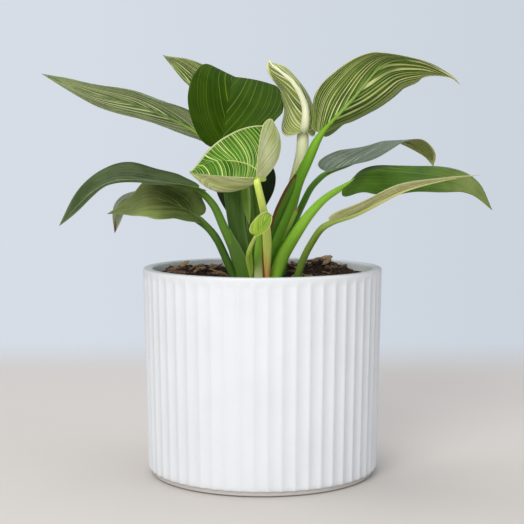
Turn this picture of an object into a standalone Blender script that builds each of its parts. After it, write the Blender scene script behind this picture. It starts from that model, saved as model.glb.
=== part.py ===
"""Potted birkin philodendron: a white fluted ceramic pot, the soil that fills it and fourteen leaves.

Metres, +Z up. The origin is the centre of the pot's underside, and the front of the plant faces -Y.
A leaf is a blade, the rib under it and its stalk, grown in one piece. Each stalk stands in a hole in the soil.
"""

import bpy
import bmesh
import numpy as np
from mathutils import Euler, Matrix, Vector

MM = 0.001

# Pot
POT_HEIGHT = 138.5 * MM
RIM_RADIUS = 80 * MM
BASE_RADIUS = 77.2 * MM
WALL = 6.5 * MM
FLOOR = 7 * MM
LIP_OUTER_ROUND = 1.8 * MM
LIP_INNER_ROUND = 1.5 * MM
FOOT_HEIGHT = 3.4 * MM
FOOT_RADIUS = 74.5 * MM
FLUTES = 55
FLUTE_DEPTH = 1.1 * MM
FLUTE_POINTS = 3
FLUTE_TOP = 136 * MM
FLUTE_BOTTOM = 4.6 * MM
FLUTE_RUN_OUT = 4.5 * MM
FIRST_RIDGE = -87.7            # degrees round Z from +X
INSIDE_SIDES = 48              # of the hollow and of the soil that fills it

# Soil
FIT_GAP = 0.3 * MM
SOIL_LEVEL = 131.5 * MM
SOIL_RINGS = (10, 21, 32, 43, 54, 65)           # mm from the middle
HOLE_GAP = 0.5 * MM
HOLE_POINTS = 3                # lowest points of a stalk that its hole follows
HEAPS = (                      # x, y, height and spread of each heap of bark, mm
    (41, 30, 8.5, 10),
    (52, 12, 3.0, 12),
    (-38, 40, 3.0, 12),
    (-52, 22, 2.5, 10),
    (14, 48, 4.0, 10),
)
CHIPS = 24
CHIP_LENGTH = (7, 14)          # mm
CHIP_WIDTH = (3.5, 6)          # mm
CHIP_THICKNESS = (2, 3)        # mm
CHIP_SEED = 7

# Leaves
BLADE_THICKNESS = 0.9 * MM
BLADE_ROWS = 12
BLADE_COLUMNS = 3              # in each half, unless the leaf says otherwise
VEIN_BEND = 1.2                # how the rows curve from the midrib to the margin
VEIN_SWEEP = 2.4               # how far the rows lean towards the tip
RIB_LENGTH = 0.72              # share of the blade that has a raised rib
RIB_RADIUS = (1.3, 0.5)        # mm, at the base and at its end
RIB_POINTS = 6
STALK_POINTS = 9
THICK_STALK = 3                # mm, radius past which a stalk has eight sides
ROOT_DEPTH = 122 * MM          # lower end of every stalk
NO_CURL = ((0, 0, 0), (0, 0, 0))

# Half outlines: place along the leaf and share of the half width, from the base to the tip
HEART = ((0, 0), (-0.055, 0.30), (-0.05, 0.62), (0.03, 0.88), (0.18, 1), (0.38, 0.93),
         (0.58, 0.70), (0.76, 0.40), (0.9, 0.15), (1, 0))
CUPPED = ((0, 0), (-0.055, 0.30), (-0.05, 0.62), (0.03, 0.88), (0.18, 1), (0.38, 0.96),
          (0.58, 0.80), (0.76, 0.56), (0.9, 0.30), (1, 0))
LANCE = ((0, 0), (-0.03, 0.3), (-0.01, 0.58), (0.08, 0.83), (0.24, 1), (0.44, 0.96),
         (0.63, 0.72), (0.8, 0.4), (0.92, 0.15), (1, 0))

# Each leaf, in mm. The midrib runs from base to tip, and facing is the way its upper side looks along it.
# Fold is how far each half rises from the midrib, curl how far it bends on towards its margin, in degrees
# from base to tip, left half then right. Wave is the height and count of the margin's waves. The stalk
# starts at the blade's base and runs down to the soil, and its radii are spread evenly along it.
LEAVES = {
    "leaf_far_left": dict(
        midrib=((-33, 34, 221), (-51, 40, 233), (-83, 46, 247), (-118, 44, 256), (-140, 46, 264),
            (-155, 48, 270)),
        facing=((0.3, 0.46, 0.84), (0.31, 0.52, 0.8)),
        half_width=(27, 27),
        fold=((10, 26, 4), (13, -38, 2)),
        curl=((-23, -80, -74), (9, 94, 58)),
        outline=LANCE, wave=(1.0, 2.5),
        stalk=((-20, 34, 211), (-11, 31, 196), (-9, 25, 176), (-7, 19, 155), (-6, 14, 130)),
        stalk_radius=(1.6, 2.4, 3.2, 3.2, 3.0, 2.8)),
    "leaf_upper_left": dict(
        midrib=((-26, 70, 246), (-43, 75, 257), (-61, 91, 273), (-74, 106, 287)),
        facing=((0.24, 0.71, 0.66), (0.1, 0.66, 0.74)),
        half_width=(19, 17),
        fold=((56, 30, 17), (43, 19, 14)),
        outline=LANCE, wave=(0.8, 2.0),
        stalk=((-24, 56, 235), (-11, 37, 217), (-6, 23, 196), (-4, 12, 173), (-3, 5, 153),
            (-2, 2, 131)),
        stalk_radius=(1.6, 1.8, 2.0, 2.1, 2.2, 2.4, 2.6)),
    "leaf_heart": dict(
        midrib=((-27, 12, 219), (-26, 26, 235), (-23, 42, 256), (-21, 57, 267), (-17, 75, 267),
            (-11, 87, 255), (-6, 92, 245)),
        facing=((-0.18, -0.79, 0.58), (-0.14, -0.77, 0.62), (0, -0.01, 1), (0.05, 0.61, 0.79)),
        half_width=(32, 41),
        fold=((51, 25, 23), (14, 2, -20)),
        curl=((13, 20, -13), (11, -20, -34)),
        outline=HEART, wave=(0.8, 1.5),
        stalk=((-23, 12, 203), (-20, 10, 190), (-17, 6, 173), (-13, 1, 153), (-10, -4, 132)),
        stalk_radius=(2.8, 4.2, 4.6, 4.6, 4.6, 4.6)),
    "leaf_front_striped": dict(
        midrib=((-4, -74, 200), (1, -53, 199), (0, -36, 201), (-7, -22, 207), (-19, -10, 210),
            (-34, -3, 209), (-49, 2, 202)),
        facing=((-0.31, -0.09, 0.9), (-0.2, -0.11, 0.44), (-0.19, -1.05, 0.59), (-0.54, -0.11, 0.51)),
        half_width=(49, 39),
        fold=((18, -42, -59), (59, -16, 24)),
        curl=((11, 131, 267), (18, 133, 63)),
        columns=4, outline=HEART, left_outline=CUPPED, wave=(0.8, 2.0),
        stalk=((-2, -66, 191), (0, -55, 182), (2, -43, 171), (3, -33, 156), (2, -27, 134)),
        stalk_radius=(2.2, 2.3, 2.4, 2.6, 3.0, 3.0)),
    "leaf_new_small": dict(
        midrib=((-4, -61, 164), (-1, -61, 168), (3, -59, 176), (6, -54, 176)),
        facing=((-0.09, -0.83, 0.55), (0.25, -0.53, 0.81)),
        half_width=(7, 8),
        fold=((46, 25, 14), (54, 32, 3)),
        outline=HEART, wave=(0, 1),
        stalk=((-8, -51, 154), (-8.5, -38, 146), (-7, -26, 134)),
        stalk_radius=(1.0, 1.6, 2.3, 1.6)),
    "leaf_cream_top": dict(
        midrib=((28, -8, 230), (28, -8, 246), (20, -11, 261), (7, -7, 272), (4, 9, 277)),
        facing=((0, 1, -0.05), (-0.06, 0.98, 0.18)),
        half_width=(18, 27),
        fold=((35, 43, 34), (9, 39, 36)),
        curl=((53, 90, 65), (82, 62, 52)),
        outline=HEART, wave=(0.5, 2.0),
        stalk=((27, 1, 230), (26.5, 4, 215), (22, 5, 198), (15, 6, 175), (10, 6, 153), (6, 5, 131)),
        stalk_radius=(2.6, 3.8, 4.3, 3.5, 3.0, 2.8, 2.6)),
    "leaf_upper_right": dict(
        midrib=((38, -13, 228), (47, -19, 238), (60, -22, 252), (79, -24, 273), (101, -33, 274),
            (120, -35, 265), (127, -34, 258)),
        facing=((-0.29, 0.83, 0.47), (-0.39, 0.79, 0.47), (0.11, 0.64, 0.76), (0.42, 0.35, 0.83)),
        half_width=(37, 22),
        fold=((27, -35, 16), (74, -23, -55)),
        curl=((43, 89, -7), (0, 0, 0)),
        outline=LANCE, wave=(1.2, 2.5),
        stalk=((30, -12, 210), (23, -10, 195), (18, -9, 178), (12, -9, 163), (7, -9, 146),
            (4, -9, 132)),
        stalk_radius=(2.6, 3.4, 4.0, 4.6, 4.8, 4.8, 4.6),
        sheath=((9, -12, 163), (12, -13, 175), (16, -13, 187), (20, -13, 196), (23, -13, 201)),
        sheath_radius=(2.0, 2.4, 2.2, 1.6, 0.6)),
    "leaf_right_grey": dict(
        midrib=((44, 20, 202), (63, 24, 209), (86, 31, 222), (101, 38, 222), (115, 45, 214),
            (121, 52, 205)),
        facing=((0, -0.34, 0.94), (-0.01, -0.05, 1), (0.15, 0.18, 0.97), (0.42, 0.5, 0.7)),
        half_width=(21, 29),
        fold=((20, 2, 4), (23, -6, 10)),
        outline=LANCE, wave=(1.0, 2.0),
        stalk=((34, 20, 192), (28, 18, 181), (22, 16, 168), (17, 13, 152), (13, 11, 131)),
        stalk_radius=(2.0, 2.2, 2.3, 2.4, 2.4, 2.4)),
    "leaf_right_long": dict(
        midrib=((54, -10, 193), (68, -12, 202), (94, -14, 206), (124, -16, 204), (141, -16, 195),
            (152, -13, 177)),
        facing=((0.28, -0.06, 0.96), (-0.01, -0.33, 0.94), (-0.01, -0.44, 0.9), (0.65, -0.62, 0.43)),
        half_width=(27, 28),
        fold=((1, -25, -21), (-23, -17, -32)),
        outline=LANCE, wave=(1.0, 2.5),
        stalk=((41, -15, 185), (30, -21, 174), (21, -21, 161), (13, -20, 147), (8, -19, 133)),
        stalk_radius=(2.0, 2.6, 3.4, 4.2, 4.4, 4.4)),
    "leaf_right_folded": dict(
        midrib=((46, -49, 172), (61, -59, 178), (87, -72, 192), (112, -82, 199), (131, -93, 202)),
        facing=((0.17, 0.5, 0.85), (0.06, 0.43, 0.9)),
        half_width=(18, 8),
        fold=((40, 33, 30), (16, 2, 0)),
        outline=LANCE, wave=(0.8, 2.0),
        stalk=((38, -43, 167), (32, -31, 157), (27, -22, 146), (23, -15, 133)),
        stalk_radius=(1.8, 2.2, 2.3, 2.4, 2.5)),
    "leaf_left_arching": dict(
        midrib=((-42, -22, 192), (-51, -26, 194), (-72, -34, 197), (-94, -40, 197), (-110, -41, 189),
            (-131, -37, 168)),
        facing=((0.08, -0.19, 0.98), (0.02, -0.35, 0.94), (-0.35, -0.39, 0.85), (-0.66, -0.6, 0.44)),
        half_width=(20, 26),
        fold=((8, 20, -2), (4, 5, 18)),
        outline=LANCE, wave=(1.0, 2.5),
        stalk=((-32, -22, 181), (-26, -20, 168), (-19, -17, 152), (-12, -14, 133)),
        stalk_radius=(2.2, 2.6, 3.0, 3.5, 3.8)),
    "leaf_left_low": dict(
        midrib=((-43, -16, 173), (-57, -18, 181), (-74, -20, 185), (-88, -16, 178), (-102, -22, 175)),
        facing=((-0.36, -0.44, 0.82), (0.05, -0.76, 0.64), (0.06, -0.26, 0.96)),
        half_width=(22, 22),
        fold=((31, 6, 2), (-2, -2, 21)),
        outline=HEART, wave=(1.0, 2.0),
        stalk=((-32, -14, 161), (-26, -10, 149), (-19, -6, 132)),
        stalk_radius=(2.2, 2.5, 2.7, 2.8)),
    "leaf_left_small": dict(
        midrib=((-72, 14, 180), (-83, 13, 187), (-98, 14, 180), (-101, 16, 160)),
        facing=((-0.36, -0.34, 0.87), (-0.31, -0.14, 0.94), (-0.76, -0.5, 0.42)),
        half_width=(16, 13),
        fold=((22, -24, -18), (-5, 2, 6)),
        outline=LANCE, wave=(0.8, 2.0),
        stalk=((-53, 12, 173), (-39, 8, 165), (-31, 6, 155), (-25, 5, 145), (-18, 5, 131)),
        stalk_radius=(1.2, 1.4, 1.5, 1.6, 1.8, 1.8)),
    "leaf_back": dict(
        midrib=((-9, 47, 209), (-11, 55, 196), (-12, 63, 177), (-11, 66, 155)),
        facing=((-0.05, 0.84, 0.54), (-0.02, 0.96, 0.29), (0, 1, 0.1)),
        half_width=(22, 21),
        fold=((-5, -1, 0), (11, 10, 0)),
        outline=LANCE, wave=(0.8, 1.5),
        stalk=((-8, 44, 192), (-7, 38, 171), (-5, 29, 151), (-4, 24, 129)),
        stalk_radius=(1.8, 2.0, 2.2, 2.4, 2.4)),
}

LEAF_GREENS = {
    "leaf_far_left": (0.20, 0.27, 0.09),
    "leaf_upper_left": (0.10, 0.17, 0.05),
    "leaf_heart": (0.05, 0.13, 0.03),
    "leaf_front_striped": (0.28, 0.42, 0.12),
    "leaf_new_small": (0.27, 0.42, 0.10),
    "leaf_cream_top": (0.55, 0.58, 0.33),
    "leaf_upper_right": (0.22, 0.30, 0.10),
    "leaf_right_grey": (0.10, 0.18, 0.10),
    "leaf_right_long": (0.08, 0.18, 0.04),
    "leaf_right_folded": (0.42, 0.46, 0.18),
    "leaf_left_arching": (0.06, 0.12, 0.05),
    "leaf_left_low": (0.12, 0.18, 0.05),
    "leaf_left_small": (0.10, 0.13, 0.06),
    "leaf_back": (0.02, 0.05, 0.02),
}


def clear_scene():
    for thing in list(bpy.data.objects):
        bpy.data.objects.remove(thing, do_unlink=True)


def new_collection(name):
    collection = bpy.data.collections.new(name)
    bpy.context.scene.collection.children.link(collection)
    return collection


def new_material(name, colour, roughness):
    material = bpy.data.materials.new(name)
    material.use_nodes = True
    shader = material.node_tree.nodes["Principled BSDF"]
    shader.inputs["Base Color"].default_value = (*colour, 1)
    shader.inputs["Roughness"].default_value = roughness
    shader.inputs["Metallic"].default_value = 0
    return material


def new_object(name, points, faces, collection):
    mesh = bpy.data.meshes.new(name)
    mesh.from_pydata([tuple(point) for point in points], [], faces)
    thing = bpy.data.objects.new(name, mesh)
    collection.objects.link(thing)
    return thing


def drop_scraps(work):
    """Keeps the largest connected body of a bmesh: a union can leave a loose sliver."""
    left = set(work.verts)
    bodies = []
    while left:
        body = {left.pop()}
        edge_of_body = list(body)
        while edge_of_body:
            vertex = edge_of_body.pop()
            found = {edge.other_vert(vertex) for edge in vertex.link_edges} & left
            left -= found
            body |= found
            edge_of_body += found
        bodies.append(body)
    bodies.sort(key=len)
    for body in bodies[:-1]:
        bmesh.ops.delete(work, geom=list(body), context="VERTS")


def apply_modifiers(thing):
    """Gives the object the mesh that its modifiers make, with doubles merged and faces outwards."""
    bpy.context.view_layer.update()
    graph = bpy.context.evaluated_depsgraph_get()
    mesh = bpy.data.meshes.new_from_object(thing.evaluated_get(graph))
    thing.modifiers.clear()
    work = bmesh.new()
    work.from_mesh(mesh)
    bmesh.ops.remove_doubles(work, verts=work.verts, dist=0.001 * MM)
    drop_scraps(work)
    bmesh.ops.recalc_face_normals(work, faces=work.faces)
    work.to_mesh(mesh)
    work.free()
    thing.data = mesh


def turn(name, profile, steps, collection):
    """A closed profile of (radius, height) from the axis at the top to the axis at the bottom, turned round Z."""
    points = [(radius, 0, height) for radius, height in profile]
    mesh = bpy.data.meshes.new(name)
    mesh.from_pydata(points, [(k, k + 1) for k in range(len(points) - 1)], [])
    thing = bpy.data.objects.new(name, mesh)
    collection.objects.link(thing)
    screw = thing.modifiers.new("Turn", "SCREW")
    screw.steps = steps
    screw.render_steps = steps
    screw.use_merge_vertices = True
    screw.merge_threshold = 0.01 * MM
    apply_modifiers(thing)
    return thing


def quarter_round(centre, radius, start, end, count):
    """Points of an arc in the profile plane, between two angles in degrees."""
    angles = np.radians(np.linspace(start, end, count))
    return [(centre[0] + radius * np.cos(a), centre[1] + radius * np.sin(a)) for a in angles]


def tube(name, path, radii, sides, collection):
    """A round stem along a path in metres, with a radius in mm at each of its points, as a closed mesh."""
    curve = bpy.data.curves.new(name, "CURVE")
    curve.dimensions = "3D"
    curve.bevel_depth = MM
    curve.bevel_resolution = sides // 2 - 2
    curve.use_fill_caps = True
    line = curve.splines.new("POLY")
    line.points.add(len(path) - 1)
    line.points.foreach_set("co", np.column_stack([path, np.ones(len(path))]).ravel())
    line.points.foreach_set("radius", np.asarray(radii, float))
    guide = bpy.data.objects.new(name + "_guide", curve)
    collection.objects.link(guide)
    bpy.context.view_layer.update()
    graph = bpy.context.evaluated_depsgraph_get()
    mesh = bpy.data.meshes.new_from_object(guide.evaluated_get(graph))
    thing = bpy.data.objects.new(name, mesh)
    thing.matrix_world = guide.matrix_world
    collection.objects.link(thing)
    bpy.data.objects.remove(guide, do_unlink=True)
    apply_modifiers(thing)
    return thing


def fuse(base, pieces):
    """Joins overlapping closed pieces to the base by one Boolean union, and removes them."""
    group = new_collection(base.name + "_pieces")
    for piece in pieces:
        for home in list(piece.users_collection):
            home.objects.unlink(piece)
        group.objects.link(piece)
    union = base.modifiers.new("Fuse", "BOOLEAN")
    union.operation = "UNION"
    union.solver = "EXACT"
    union.operand_type = "COLLECTION"
    union.collection = group
    apply_modifiers(base)
    for piece in list(group.objects):
        bpy.data.objects.remove(piece, do_unlink=True)
    bpy.data.collections.remove(group)


def finish(thing, material, sharp_angle, foot=(0, 0, 0)):
    """Gives an object its material, smooth shading and its own origin at the foot."""
    mesh = thing.data
    mesh.materials.clear()
    mesh.materials.append(material)
    mesh.shade_smooth()
    mesh.set_sharp_from_angle(angle=np.radians(sharp_angle))
    points = np.empty(len(mesh.vertices) * 3)
    mesh.vertices.foreach_get("co", points)
    points = points.reshape(-1, 3) - np.array(foot)
    mesh.vertices.foreach_set("co", points.ravel())
    mesh.update()
    thing.location = foot


# Pot

def outer_radius(height):
    return BASE_RADIUS + (RIM_RADIUS - BASE_RADIUS) * height / POT_HEIGHT


def inner_radius(height):
    return outer_radius(height) - WALL


def cut_flutes(pot):
    """Sinks each flute as a shallow arc between two ridges, fading out to both of its ends."""
    points = np.empty(len(pot.data.vertices) * 3)
    pot.data.vertices.foreach_get("co", points)
    points = points.reshape(-1, 3)
    radius = np.hypot(points[:, 0], points[:, 1])
    height = points[:, 2]
    angle = np.degrees(np.arctan2(points[:, 1], points[:, 0])) - FIRST_RIDGE
    across = angle * FLUTES / 360
    across = across - np.floor(across) - 0.5
    arc = 1 - (2 * across) ** 2
    from_end = np.minimum(FLUTE_TOP - height, height - FLUTE_BOTTOM) / FLUTE_RUN_OUT
    depth = FLUTE_DEPTH * arc * np.clip(from_end, 0, 1)
    on_wall = radius > outer_radius(height) - 0.1 * MM
    scale = np.where(on_wall, 1 - depth / np.maximum(radius, MM), 1)
    points[:, :2] *= scale[:, None]
    pot.data.vertices.foreach_set("co", points.ravel())
    pot.data.update()


def make_pot(collection, cutters):
    lip_radius = RIM_RADIUS - LIP_OUTER_ROUND
    lip = quarter_round((lip_radius, POT_HEIGHT - LIP_OUTER_ROUND), LIP_OUTER_ROUND, 90, 0, 3)
    wall = [FLUTE_TOP, FLUTE_TOP - FLUTE_RUN_OUT, FLUTE_BOTTOM + FLUTE_RUN_OUT, FLUTE_BOTTOM]
    profile = [(0, POT_HEIGHT), *lip]
    profile += [(outer_radius(height), height) for height in wall]
    profile += [
        (BASE_RADIUS - 0.6 * MM, FOOT_HEIGHT),
        (FOOT_RADIUS, FOOT_HEIGHT),
        (FOOT_RADIUS - 0.5 * MM, 0),
        (0, 0),
    ]
    pot = turn("pot", profile, FLUTES * FLUTE_POINTS, collection)
    turn_to_ridge = np.radians(FIRST_RIDGE)
    pot.data.transform(Matrix.Rotation(turn_to_ridge, 4, "Z"))
    cut_flutes(pot)

    mouth = inner_radius(POT_HEIGHT)
    above = POT_HEIGHT + 5 * MM
    round_over = quarter_round(
        (mouth + LIP_INNER_ROUND, POT_HEIGHT - LIP_INNER_ROUND), LIP_INNER_ROUND, 90, 180, 3
    )
    hollow_profile = [(0, above), (mouth + LIP_INNER_ROUND, above), *round_over]
    hollow_profile += [(inner_radius(FLOOR), FLOOR), (0, FLOOR)]
    hollow = turn("pot_hollow", hollow_profile, INSIDE_SIDES, cutters)
    cut = pot.modifiers.new("Hollow", "BOOLEAN")
    cut.object = hollow
    cut.operation = "DIFFERENCE"
    cut.solver = "EXACT"
    finish(pot, new_material("white_glazed_ceramic", (0.80, 0.80, 0.79), 0.35), 20)
    return pot


# Leaves

def unit(vectors):
    return vectors / np.linalg.norm(vectors, axis=-1, keepdims=True)


def smooth_curve(points, at):
    """Catmull-Rom curve through the points, read at the fractions given."""
    knots = np.array(points, float)
    full = np.vstack([2 * knots[0] - knots[1], knots, 2 * knots[-1] - knots[-2]])
    place = np.asarray(at, float) * (len(knots) - 1)
    span = np.minimum(place.astype(int), len(knots) - 2)
    u = (place - span)[:, None]
    a, b, c, d = (full[span + k] for k in range(4))
    return 0.5 * (2 * b + (c - a) * u + (2 * a - 5 * b + 4 * c - d) * u**2 + (3 * b - a - 3 * c + d) * u**3)


def read_rows(at, rows, x):
    """Rows of vectors given at the fractions `at`, read between them at x."""
    return np.stack([np.interp(x, at, column) for column in np.array(rows, float).T], -1)


def along_midrib(leaf, x):
    """Place, direction, upper side and right side of the midrib at fractions x of its length."""
    line = smooth_curve(leaf["midrib"], np.linspace(0, 1, 201)) * MM
    steps = np.linalg.norm(np.diff(line, axis=0), axis=1)
    reach = np.concatenate([[0], np.cumsum(steps)]) / steps.sum()
    inside = np.clip(x, 0, 1)
    ahead = unit(read_rows(reach, unit(np.gradient(line, axis=0)), inside))
    place = read_rows(reach, line, inside) + ahead * np.minimum(x, 0)[..., None] * steps.sum()
    upper = read_rows(np.linspace(0, 1, len(leaf["facing"])), leaf["facing"], inside)
    upper = unit(upper - (upper * ahead).sum(-1, keepdims=True) * ahead)
    return place, ahead, upper, np.cross(ahead, upper)


def blade_grid(leaf):
    """Middle surface of the blade: each row runs along a pair of side veins, from margin to margin."""
    t = np.linspace(0, 1, BLADE_ROWS + 1)
    w = np.linspace(-1, 1, 2 * leaf.get("columns", BLADE_COLUMNS) + 1)
    edges = [smooth_curve(leaf.get(key, leaf["outline"]), t) for key in ("left_outline", "outline")]
    edge = np.where(w[:, None] < 0, edges[0][:, None], edges[1][:, None])
    edge[0] = 0
    edge[-1] = (1, 0)
    middle = t[:, None] ** VEIN_SWEEP
    x = middle + (edge[..., 0] - middle) * np.abs(w) ** VEIN_BEND
    place, ahead, upper, right = along_midrib(leaf, x)
    grid = place.copy()
    for side in (0, 1):
        sign = 2 * side - 1
        here = w * sign >= 0
        half_width = leaf["half_width"][side] * MM
        share = edge[..., 1] * np.abs(w)
        out = share * half_width
        stations = np.linspace(0, 1, 3)
        inside = np.clip(x, 0, 1)
        fold = np.radians(np.interp(inside, stations, leaf["fold"][side]))
        curl = np.radians(np.interp(inside, stations, leaf.get("curl", NO_CURL)[side]))
        curl = np.where(np.abs(curl) < 0.01, 0.01, curl) / half_width
        across = (np.sin(fold + curl * out) - np.sin(fold)) / curl
        lift = (np.cos(fold) - np.cos(fold + curl * out)) / curl
        height, count = leaf["wave"]
        lift = lift + height * MM * np.sin(2 * np.pi * count * x + sign) * share**2
        half = place + right * (sign * across)[..., None] + upper * lift[..., None]
        grid[:, here] = half[:, here]
    return grid


def make_blade(name, leaf, collection):
    grid = blade_grid(leaf)
    rows, columns = grid.shape[0] - 2, grid.shape[1]
    middle = columns // 2
    points = [grid[0, middle], *grid[1:-1].reshape(-1, 3), grid[-1, middle]]
    tip = len(points) - 1
    faces = []
    for column in range(columns - 1):
        first = 1 + column
        last = first + (rows - 1) * columns
        faces += [(0, first + 1, first), (tip, last, last + 1)]
        for row in range(rows - 1):
            a = first + row * columns
            b, c, d = a + 1, a + columns, a + columns + 1
            left_half = column < middle
            faces += [(a, b, c), (b, d, c)] if left_half else [(a, b, d), (a, d, c)]
    blade = new_object(name, points, faces, collection)
    thick = blade.modifiers.new("Thickness", "SOLIDIFY")
    thick.thickness = BLADE_THICKNESS
    thick.offset = 0
    apply_modifiers(blade)
    return blade


def stalk_path(leaf):
    """Points and radii of a stalk, from the blade's base down to its lower end in the soil."""
    knots = [leaf["midrib"][0], *leaf["stalk"]]
    at = np.linspace(0, 1, STALK_POINTS)
    path = smooth_curve(knots, at) * MM
    radii = np.interp(at, np.linspace(0, 1, len(leaf["stalk_radius"])), leaf["stalk_radius"])
    end = (path[-1, 0], path[-1, 1], ROOT_DEPTH)
    return np.vstack([path, end]), np.append(radii, radii[-1])


def make_leaf(name, leaf, collection):
    blade = make_blade(name, leaf, collection)
    path, radii = stalk_path(leaf)
    pieces = [tube(name + "_stalk", path, radii, 8 if radii.max() > THICK_STALK else 6, collection)]
    x = np.linspace(0, RIB_LENGTH, RIB_POINTS)
    start = min(RIB_RADIUS[0], 0.75 * radii[0])
    rib_radii = np.linspace(start, RIB_RADIUS[1], RIB_POINTS)
    place, ahead, upper, right = along_midrib(leaf, x)
    under = place - upper * (0.5 * BLADE_THICKNESS + 0.3 * MM * rib_radii)[:, None]
    pieces.append(tube(name + "_rib", under, rib_radii, 6, collection))
    if "sheath" in leaf:
        sheath = np.array(leaf["sheath"]) * MM
        pieces.append(tube(name + "_sheath", sheath, leaf["sheath_radius"], 6, collection))
    fuse(blade, pieces)
    foot = tuple(path[-1])
    finish(blade, new_material(name + "_green", LEAF_GREENS[name], 0.4), 35, foot)
    return blade


# Soil

def soil_height(x, y):
    """Height of the soil: heaps of bark on a level that is slightly uneven. x and y in mm."""
    rise = 0.5 * np.sin(0.19 * x + 1.3) * np.cos(0.23 * y) + 0.4 * np.sin(0.41 * y + 0.11 * x)
    for heap_x, heap_y, height, spread in HEAPS:
        rise = rise + height * np.exp(-((x - heap_x) ** 2 + (y - heap_y) ** 2) / (2 * spread**2))
    edge = np.clip((SOIL_RINGS[-1] + 6 - np.hypot(x, y)) / 10, 0, 1)
    return SOIL_LEVEL + rise * edge * MM


def make_chips(collection):
    """Chips of bark lying at random on the soil, clear of the stalks and of the pot's wall."""
    draw = np.random.default_rng(CHIP_SEED)
    stalks = np.vstack([smooth_curve(stalk_path(leaf)[0][-5:], np.linspace(0, 1, 40)) for leaf in LEAVES.values()])
    chips = []
    while len(chips) < CHIPS:
        if len(chips) % 2:
            heap = HEAPS[int(draw.integers(len(HEAPS)))]
            x, y = draw.normal(heap[:2], heap[3] * 0.8)
        else:
            x, y = draw.uniform(-66, 66, 2)
        size = np.array([draw.uniform(*CHIP_LENGTH), draw.uniform(*CHIP_WIDTH), draw.uniform(*CHIP_THICKNESS)])
        angles = draw.uniform(-25, 25), draw.uniform(-25, 25), draw.uniform(0, 180)
        shift = draw.uniform(-0.12, 0.12, (8, 3))
        reach = size[0] / 2 + 1
        centre = np.array([x * MM, y * MM, soil_height(x, y) + 0.2 * size[2] * MM])
        beside_stalk = np.linalg.norm(stalks - centre, axis=1).min() < (reach + 5.5) * MM
        if beside_stalk or np.hypot(x, y) + reach > SOIL_RINGS[-1]:
            continue
        work = bmesh.new()
        bmesh.ops.create_cube(work, size=1)
        for vertex, push in zip(work.verts, shift):
            vertex.co = Vector((np.array(vertex.co) + push) * size * MM)
        turned = Euler([np.radians(a) for a in angles]).to_matrix().to_4x4()
        work.transform(Matrix.Translation(centre) @ turned)
        mesh = bpy.data.meshes.new(f"chip_{len(chips):02d}")
        bmesh.ops.triangulate(work, faces=work.faces)
        work.to_mesh(mesh)
        work.free()
        chip = bpy.data.objects.new(mesh.name, mesh)
        collection.objects.link(chip)
        chips.append(chip)
    return chips


def make_soil(collection, cutters):
    bottom = FLOOR + FIT_GAP
    top_edge = inner_radius(SOIL_LEVEL) - FIT_GAP
    profile = [(0, SOIL_LEVEL), *((ring * MM, SOIL_LEVEL) for ring in SOIL_RINGS), (top_edge, SOIL_LEVEL)]
    profile += [(inner_radius(bottom) - FIT_GAP, bottom), (0, bottom)]
    soil = turn("potting_soil", profile, INSIDE_SIDES, collection)
    for vertex in soil.data.vertices:
        if vertex.co.z > SOIL_LEVEL - MM:
            vertex.co.z = soil_height(vertex.co.x / MM, vertex.co.y / MM)
    fuse(soil, make_chips(collection))
    holes = new_collection("stalk_holes")
    bpy.context.scene.collection.children.unlink(holes)
    cutters.children.link(holes)
    for name, leaf in LEAVES.items():
        path, radii = stalk_path(leaf)
        hole_path = path[-HOLE_POINTS:]
        hole_path[-1, 2] -= FIT_GAP
        tube(name + "_hole", hole_path, radii[-HOLE_POINTS:] + HOLE_GAP / MM, 12, holes)
    cut = soil.modifiers.new("Holes", "BOOLEAN")
    cut.operand_type = "COLLECTION"
    cut.collection = holes
    cut.operation = "DIFFERENCE"
    cut.solver = "EXACT"
    finish(soil, new_material("potting_mix", (0.06, 0.035, 0.022), 0.95), 30)
    return soil


def main():
    clear_scene()
    plant = new_collection("potted_birkin_philodendron")
    cutters = new_collection("cutters")
    make_pot(plant, cutters)
    make_soil(plant, cutters)
    for name, leaf in LEAVES.items():
        make_leaf(name, leaf, plant)
    for cutter in cutters.all_objects:
        cutter.hide_render = True
        cutter.display_type = "WIRE"


main()
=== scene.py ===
import bpy
import numpy as np
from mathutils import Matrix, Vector


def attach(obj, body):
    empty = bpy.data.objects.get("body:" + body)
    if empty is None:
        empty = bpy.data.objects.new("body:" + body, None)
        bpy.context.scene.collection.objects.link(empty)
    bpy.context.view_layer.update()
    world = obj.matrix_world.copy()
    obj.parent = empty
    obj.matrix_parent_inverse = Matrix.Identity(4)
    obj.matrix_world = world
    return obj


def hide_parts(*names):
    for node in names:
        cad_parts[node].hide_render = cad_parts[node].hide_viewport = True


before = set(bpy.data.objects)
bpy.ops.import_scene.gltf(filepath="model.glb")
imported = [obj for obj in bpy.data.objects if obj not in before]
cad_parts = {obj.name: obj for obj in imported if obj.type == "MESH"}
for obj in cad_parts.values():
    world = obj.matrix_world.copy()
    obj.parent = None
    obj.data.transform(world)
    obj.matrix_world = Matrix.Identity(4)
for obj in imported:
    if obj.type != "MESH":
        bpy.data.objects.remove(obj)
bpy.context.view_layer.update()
mm = 0.001
print("frame loaded:", len(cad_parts), "nodes")


# Finishes. Signal lets shader maths be written as ordinary sums; Finish makes the nodes of a material, or of the
# world round the object. Colours are as on a screen, red, green and blue from 0 to 255.

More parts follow.
